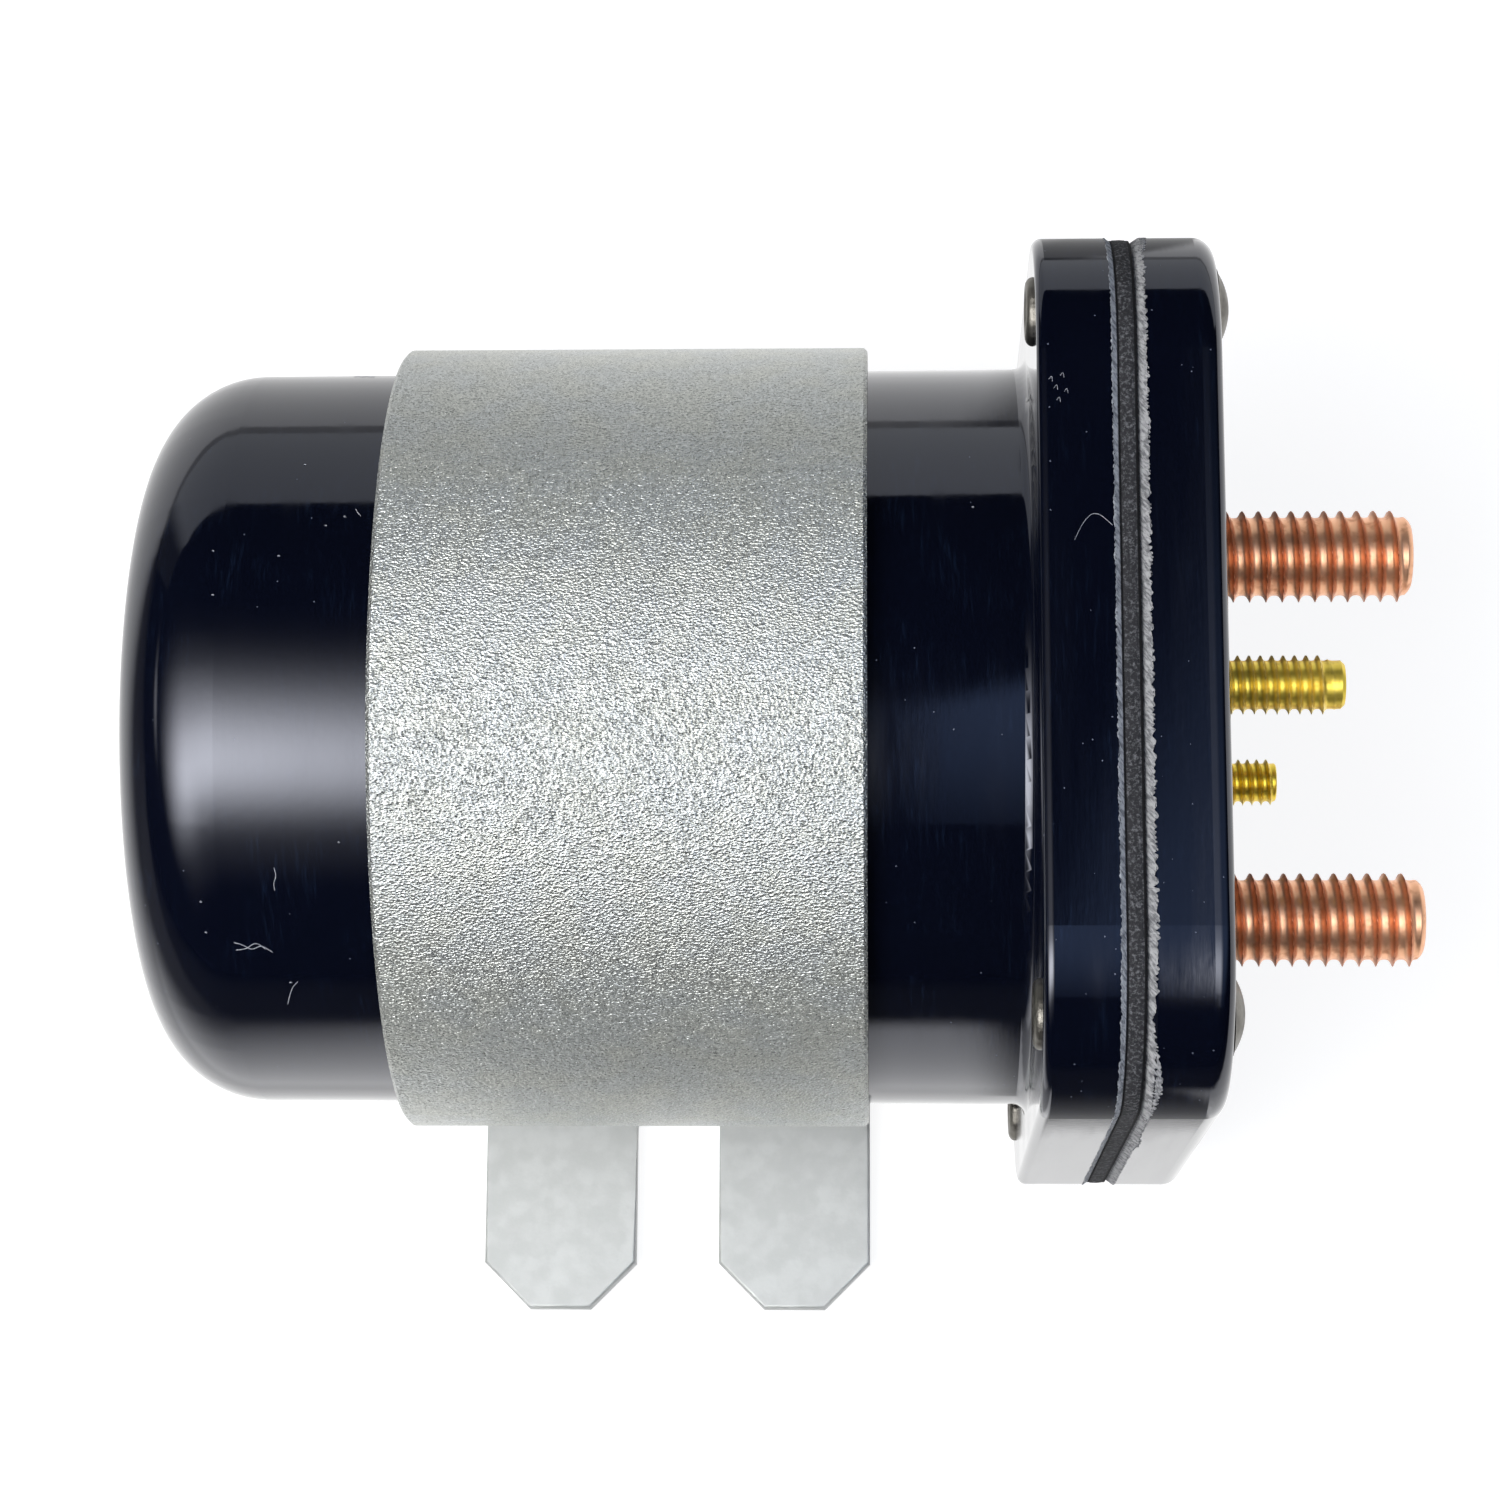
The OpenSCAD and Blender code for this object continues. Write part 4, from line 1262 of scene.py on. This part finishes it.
@dataclass(frozen=True)
class Spring:
    """A helical spring along X with closed ends."""

    name: str
    node: str
    foot: float
    length: float
    mean: float
    wire: float
    turns: float
    travel: float
    centre_z: float
    steps_per_turn: int = 40
    sides: int = 14

    def rise(self, turn: float) -> float:
        """Gives the height of the wire after a number of turns."""
        closed = 2.1 * self.wire
        active = self.length - 2 * self.wire - 2 * closed
        ends = min(turn, 1.0) + max(turn - self.turns + 1.0, 0.0)
        return self.wire + closed * ends + active * max(min(turn - 1, self.turns - 2), 0.0) / (self.turns - 2)

    def build(self, bench: Bench) -> None:
        """Builds the spring in place of its plain node.

        Args:
            bench: Nodes and materials.
        """
        steps = round(self.turns * self.steps_per_turn)
        rows = []
        for i in range(steps + 1):
            turn = i * self.turns / steps
            sweep = 2 * math.pi * turn
            row = []
            for j in range(self.sides):
                around = 2 * math.pi * j / self.sides
                reach = self.mean + self.wire * math.cos(around)
                x = self.foot + self.rise(turn) + self.wire * math.sin(around)
                row.append((x, reach * math.sin(sweep), self.centre_z - reach * math.cos(sweep)))
            rows.append(row)
        maker = MeshMaker()
        maker.tube(rows)
        piece = bench.stand_in(self.node, maker, self.name, Slot.SPRING_STEEL, Body.PLUNGER)
        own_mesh(piece)
        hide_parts(self.node)


@dataclass
class Magnet(SubAssembly):
    """Cup, coil, core and plunger with its return spring."""

    def build(self) -> None:
        """Paints the magnet's nodes and builds the return spring."""
        self.bench.paint(Slot.MAGNET_STEEL, "magnet_cup", "rear_pole_ring", "pole_plate", "fixed_core",
                         "plunger")
        self.bench.paint(Slot.BUMPER_RUBBER, "bumper_disc")
        self.bench.paint(Slot.BOBBIN_NYLON, "coil_bobbin")
        self.bench.paint(Slot.ENAMELLED_WIRE, "coil_winding", "coil_leads")
        self.bench.paint(Slot.WINDING_TAPE, "winding_wrap")
        self.bench.paint(Slot.BRASS, "guide_tube", "plunger_rod")
        Spring("return_spring_wire", "return_spring", foot=-11.35, length=13.2, mean=3.35,
               wire=0.45, turns=7.0, travel=3.1, centre_z=self.axis_height).build(self.bench)


@dataclass
class ContactChamber(SubAssembly):
    """Insulation, moving contact and contact spring in front of the magnet."""

    def build(self) -> None:
        """Paints the chamber's nodes and builds the contact spring."""
        self.bench.paint(Slot.FIBRE_BOARD, "insulating_disc", "chamber_liner")
        self.bench.paint(Slot.SPRING_STEEL, "spring_collar", "rod_clip")
        self.bench.paint(Slot.BOBBIN_NYLON, "contact_bush")
        self.bench.paint(Slot.COPPER, "contact_bar")
        self.bench.paint(Slot.SILVER, "contact_tips")
        Spring("contact_spring_wire", "contact_spring", foot=24.25, length=6.0, mean=3.2, wire=0.4, turns=3.5,
               travel=0.75, centre_z=self.axis_height).build(self.bench)


@dataclass(frozen=True)
class Fibre:
    """A fibre that lies on the can (on_can) or on the flat top of the flange and cover."""

    path: tuple[tuple[float, float], ...]
    on_can: bool = True
    radius: float = 0.027


def scattered_fibres() -> tuple[Fibre, ...]:
    """Gives the fibres seen on the can and the flange, and a few more on the hidden sides."""
    made = [
        Fibre(((-30.92, -44.3), (-30.22, -44.8), (-29.54, -45.5), (-28.71, -45.0), (-27.88, -46.1))),
        Fibre(((-30.83, -45.7), (-30.01, -45.4), (-29.17, -44.5), (-28.42, -45.5))),
        Fibre(((-27.24, -32.0), (-27.12, -33.3), (-27.32, -34.5), (-27.28, -35.6))),
        Fibre(((-26.16, -51.6), (-26.63, -52.8), (-26.96, -54.4), (-27.24, -56.3))),
        Fibre(((-21.28, 22.8), (-21.09, 22.1), (-20.82, 21.5))),
        Fibre(((35.55, 7.3), (36.2, 8.6), (36.9, 9.35), (37.6, 9.25), (38.5, 8.45)), on_can=False,
              radius=0.022),
    ]
    for x, angle in ((-32.46, 15.4), (-27.16, 14.5), (-32.18, 8.2), (-22.18, 21.3), (-23.63, 19.7), (-25.93, 31.9),
                     (-33.32, -37.5), (-33.15, -42.6), (-26.82, -51.8), (-22.09, -28.2), (27.82, 22.3)):
        made.append(Fibre(((x, angle), (x + 0.09, angle + 0.12), (x + 0.16, angle - 0.05)), radius=0.04))
    for x, y in ((33.7, 20.3), (34.1, 19.6), (34.6, 20.6), (34.3, 18.6), (34.9, 19.3)):
        made.append(Fibre(((x, y), (x + 0.22, y + 0.25), (x + 0.3, y - 0.15)), on_can=False, radius=0.02))
    rng = random.Random(41)
    for _ in range(10):
        x, angle = rng.uniform(-36.0, -21.0), rng.uniform(60.0, 300.0)
        path = [(x, angle)]
        heading = rng.uniform(0.0, 6.28)
        for _ in range(4):
            heading += rng.uniform(-0.9, 0.9)
            last = path[-1]
            path.append((last[0] + 0.5 * math.cos(heading), last[1] + 0.9 * math.sin(heading)))
        made.append(Fibre(tuple(path)))
    return tuple(made)


@dataclass
class LintFibres(SubAssembly):
    """The few textile fibres that cling to the polished black surfaces."""

    can_radius: float = 31.26
    can_growth: float = 0.0044
    top: float = 71.8272
    fibres: tuple[Fibre, ...] = field(default_factory=scattered_fibres)

    def place(self, fibre: Fibre, x: float, across: float) -> Vector:
        """Gives a point just above the surface.

        Args:
            fibre: Fibre that lies there.
            x: Place along the axis.
            across: Angle in degrees on the can, or Y on the flat top.

        Returns:
            The point.
        """
        if not fibre.on_can:
            return Vector((x, across, self.top + fibre.radius))
        out = self.can_radius + self.can_growth * (x + 20.0) + fibre.radius
        angle = math.radians(across)
        return Vector((x, out * math.sin(angle), self.axis_height + out * math.cos(angle)))

    def build(self) -> None:
        """Builds all fibres as one piece."""
        maker = MeshMaker()
        for fibre in self.fibres:
            maker.tube(self.strand(fibre))
        maker.publish("lint_fibres", self.bench.lint, Body.HOUSING, 80.0)

    def strand(self, fibre: Fibre) -> list[list[Point]]:
        """Gives the rows of one fibre, on a smooth curve through its path.

        Args:
            fibre: Fibre to lay out.

        Returns:
            One closed row of points for each section.
        """
        path = fibre.path
        line = []
        for i in range(len(path) - 1):
            start, end = path[i], path[i + 1]
            before, after = path[max(i - 1, 0)], path[min(i + 2, len(path) - 1)]
            for k in range(6):
                t = k / 6
                spot = [0.5 * (2 * s + (e - b) * t + (2 * b - 5 * s + 4 * e - a) * t ** 2
                               + (3 * s - b - 3 * e + a) * t ** 3)
                        for b, s, e, a in zip(before, start, end, after)]
                line.append(self.place(fibre, *spot))
        line.append(self.place(fibre, *path[-1]))
        rows = []
        for i, point in enumerate(line):
            ahead = line[min(i + 1, len(line) - 1)] - line[max(i - 1, 0)]
            side = ahead.cross(Vector((0.2, 0.1, 1.0))).normalized()
            up = side.cross(ahead).normalized()
            thin = fibre.radius * (0.5 if i in (0, len(line) - 1) else 1.0)
            rows.append([tuple(point + thin * (side * math.cos(a) + up * math.sin(a)))
                         for a in (0.0, 1.257, 2.513, 3.770, 5.027)])
        return rows


# Studio


class Ray(Enum):
    """Kinds of ray that the stage tells apart."""

    CAMERA = "Is Camera Ray"
    GLOSSY = "Is Glossy Ray"
    TRANSMISSION = "Is Transmission Ray"


def make_sheet(name: str, points: Sequence[Point], faces: Sequence[tuple[int, ...]],
               material: bpy.types.Material, camera: bool = True, matt: bool = True) -> bpy.types.Object:
    """Makes a sheet for the stage.

    Args:
        name: Name of the sheet.
        points: Its points in metres.
        faces: Its faces.
        material: Its material.
        camera: Whether the camera sees it.
        matt: Whether it lights matt surfaces.

    Returns:
        The sheet.
    """
    mesh = bpy.data.meshes.new(name)
    mesh.from_pydata(points, [], faces)
    mesh.materials.append(material)
    sheet = bpy.data.objects.new(name, mesh)
    bpy.context.scene.collection.objects.link(sheet)
    sheet.visible_camera = camera
    sheet.visible_diffuse = matt
    return sheet


@dataclass(frozen=True)
class LightArc:
    """A glowing sheet bent over the table, brightest along its middle line.

    It lies on part of a cylinder about the Y axis. Angles are counted from straight up, and are
    negative to the left. The skew turns its ends by an angle for each metre along Y, and behind its
    middle line it may fade over a distance of its own.
    """

    name: str
    first: float
    last: float
    fade_first: float
    fade_last: float
    middle_y: float
    spread: float
    strength: float
    radius: float = 0.6
    height: float = 0.036
    half_depth: float = 0.5
    segments: int = 24
    skew: float = 0.0
    rear_spread: float = 0.0
    tone: Colour = (1.0, 1.0, 1.0)
    lights_matt: bool = True

    def build(self) -> bpy.types.Object:
        """Builds the light.

        Returns:
            The sheet.
        """
        points, faces = [], []
        for i in range(self.segments + 1):
            angle = math.radians(self.first + (self.last - self.first) * i / self.segments)
            x, z = self.radius * math.sin(angle), self.height + self.radius * math.cos(angle)
            points += [(x, self.middle_y - self.half_depth, z), (x, self.middle_y + self.half_depth, z)]
            if i:
                faces.append((2 * i - 2, 2 * i - 1, 2 * i + 1, 2 * i))
        sheet = make_sheet(self.name, points, faces, self.glow(), camera=False, matt=self.lights_matt)
        return sheet

    def glow(self) -> bpy.types.Material:
        """Builds the light's material.

        Returns:
            A glow that fades towards the ends of the arc and away from its middle line.
        """
        graph = ShaderGraph(self.name)
        x, y, z = graph.parts()
        angle = graph.math("ARCTAN2", x, graph.minus(z, self.height))
        angle = graph.minus(angle, graph.product(y, math.radians(self.skew)))
        across = graph.minus(y, self.middle_y)
        off = graph.math("MAXIMUM", graph.math("DIVIDE", across, self.rear_spread or self.spread),
                         graph.math("DIVIDE", across, -self.spread))
        bell = graph.math("EXPONENT", graph.product(off, off, -0.5))
        first, last = math.radians(self.first), math.radians(self.last)
        ends = graph.product(graph.ramp(angle, first, first + math.radians(self.fade_first) + 1e-4),
                             graph.ramp(angle, last - math.radians(self.fade_last) - 1e-4, last, 1.0, 0.0))
        lamp = graph.glow(graph.product(bell, ends, self.strength), self.tone)
        return graph.show(graph.sum(lamp, graph.node("ShaderNodeBsdfTransparent", {}).outputs[0]))


@dataclass
class Studio:
    """White sheet on a table, soft light from above, and the camera of the photograph."""

    camera_at: Point = (0.0205, -0.0732, 0.3522)
    look_at: Point = (0.0093, -0.0011, 0.0359)
    lens: float = 90.35
    roll: float = 0.34
    sheet_front: float = -0.16
    sheet_rear: float = 0.312
    board_y: float = 0.27
    board_foot: float = 0.027
    board_left: float = 0.2195
    board_right: float = 0.1395
    lights: tuple[LightArc, ...] = (
        LightArc("light_left", -71.0, 2.0, 32.0, 19.0, -0.195, 0.128, 9.4),
        LightArc("light_tail", -71.0, 2.0, 32.0, 19.0, -0.55, 0.15, 0.25, radius=0.61),
        LightArc("light_right", 2.2, 80.0, 3.0, 20.0, 0.02, 0.28, 0.68, skew=34.0, rear_spread=0.085,
                 tone=(0.42, 0.60, 1.0)),
        LightArc("light_studs", 9.2, 50.0, 1.2, 18.0, -0.19, 0.13, 4.6, radius=0.59, lights_matt=False),
        LightArc("light_edge", -75.0, -70.5, 1.5, 1.5, 0.04, 0.06, 1.4, radius=0.62),
    )

    def build(self) -> None:
        """Builds the whole stage."""
        self.table()
        self.back_board()
        for light in self.lights:
            light.build()
        self.surroundings()
        self.camera()
        bpy.context.scene.view_settings.view_transform = "Standard"

    def table(self) -> None:
        """Builds the pale floor.

        The camera sees it white with the object's shadow. Glossy rays see the sheet and the dark table
        beyond it.
        """
        graph = ShaderGraph("table")
        rays = graph.rays()
        mirrored = graph.math("MAXIMUM", rays[Ray.GLOSSY.value], rays[Ray.TRANSMISSION.value])
        sheet = graph.sum(self.matt(graph, 0.04), graph.glow(self.sheet_glow(graph)))
        seen = graph.sum(self.matt(graph, 0.3), graph.glow(0.88))
        shader = graph.choose(mirrored, self.matt(graph, 0.8), sheet)
        material = graph.show(graph.choose(rays[Ray.CAMERA.value], shader, seen))
        corners = [(-2, -2, 0), (2, -2, 0), (2, 2, 0), (-2, 2, 0)]
        floor = make_sheet("table", corners, [(0, 1, 2, 3)], material)
        floor.location.z = -0.00002

    def matt(self, graph: ShaderGraph, grey: float) -> bpy.types.NodeSocket:
        """Adds a matt grey shader."""
        return graph.node("ShaderNodeBsdfDiffuse", {"Color": (grey, grey, grey, 1.0)}).outputs[0]

    def sheet_glow(self, graph: ShaderGraph) -> bpy.types.NodeSocket:
        """Gives the brightness that mirrors see on the sheet.

        It paints the sheet's light and shade: bright round the can, dim in front of the cover, and it ends softly
        in front, behind and along a slant on the left.

        Args:
            graph: Graph of the floor.

        Returns:
            The brightness.
        """
        x, y, _ = graph.parts()
        front = graph.mix_value(graph.ramp(x, 0.014, 0.022), 0.68, 1.5)
        front = graph.mix_value(graph.ramp(x, -0.024, -0.016), 1.6, front)
        front = graph.mix_value(graph.ramp(y, -0.054, -0.046), front, 1.15)
        far = graph.ramp(y, -0.15, -0.045, 0.0, 0.27)
        beside = graph.mix_value(graph.ramp(y, -0.0437, -0.0418), far, 1.15)
        front = graph.mix_value(graph.ramp(x, 0.028, 0.036), front, beside)
        rear = graph.mix_value(graph.ramp(x, -0.03, -0.01), 0.93, 1.12)
        rear = graph.mix_value(graph.ramp(x, 0.03, 0.04), rear, 0.42)
        glow = graph.mix_value(graph.ramp(y, -0.02, 0.03), front, rear)
        glow = graph.mix_value(graph.ramp(x, 0.052, 0.057), glow, 1.2)
        left = graph.ramp(graph.total(x, y), -0.225, -0.085, 0.08, 1.0)
        ends = graph.product(graph.ramp(y, self.sheet_front - 0.03, self.sheet_front + 0.03),
                             graph.ramp(y, self.sheet_rear - 0.012, self.sheet_rear + 0.012, 1.0, 0.42))
        return graph.product(glow, ends, left)

    def back_board(self) -> None:
        """Builds the pale board behind the sheet, which only reflections show."""
        graph = ShaderGraph("back_board")
        x = graph.parts()[0]
        glow = graph.product(graph.ramp(x, -0.36, -0.26, 0.1, 1.0), graph.ramp(x, -0.08, 0.04, 0.71, 0.87))
        material = graph.show(graph.glow(glow, (0.94, 0.97, 1.0)))
        y = self.board_y
        points = [(-0.5, y, self.board_foot), (0.5, y, self.board_foot), (0.5, y, self.board_right),
                  (-0.5, y, self.board_left)]
        board = make_sheet("back_board", points, [(0, 1, 2, 3)], material, camera=False, matt=False)

    def surroundings(self) -> None:
        """Makes the world white for the camera and dim for everything else."""
        world = bpy.data.worlds.new("room")
        bpy.context.scene.world = world
        graph = Graph(world)
        rays = graph.rays()
        fill, dark, white = (
            graph.node("ShaderNodeBackground", {"Color": (*tone, 1.0), "Strength": strength}).outputs[0]
            for tone, strength in (((0.9, 0.94, 1.0), 0.12), ((0.7, 0.8, 1.0), 0.012),
                                   ((1.0, 1.0, 1.0), 1.0)))
        room = graph.choose(rays[Ray.GLOSSY.value], fill, dark)
        graph.node("ShaderNodeOutputWorld", {0: graph.choose(rays[Ray.CAMERA.value], room, white)})

    def camera(self) -> None:
        """Places the camera where the photograph was taken from."""
        data = bpy.data.cameras.new("camera")
        data.lens = self.lens
        data.sensor_width = 36.0
        data.clip_start = 0.01
        data.clip_end = 20.0
        camera = bpy.data.objects.new("camera", data)
        bpy.context.scene.collection.objects.link(camera)
        forward = (Vector(self.look_at) - Vector(self.camera_at)).normalized()
        right = forward.cross(Vector((0.0, 1.0, 0.0))).normalized()
        up = right.cross(forward)
        turn = Matrix((right, up, -forward)).transposed() @ Matrix.Rotation(math.radians(self.roll), 3, "Z")
        camera.matrix_world = Matrix.Translation(Vector(self.camera_at)) @ turn.to_4x4()
        bpy.context.scene.camera = camera


def main() -> None:
    """Builds the scene."""
    logging.basicConfig(level=logging.INFO, format="%(name)s: %(message)s")
    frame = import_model()
    low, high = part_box("housing_can")
    axis_height = (low.z + high.z) / 2 / MM
    LOG.info("axis at %.3f mm above the table", axis_height)
    Studio().build()
    bench = Bench(frame["nodes"], axis_height)
    for kind in (Housing, Rivets, ClampMount, Terminals, Magnet, ContactChamber, LintFibres):
        kind(bench).build()
        LOG.info("built %s", kind.__name__)


if __name__ == "__main__":
    main()
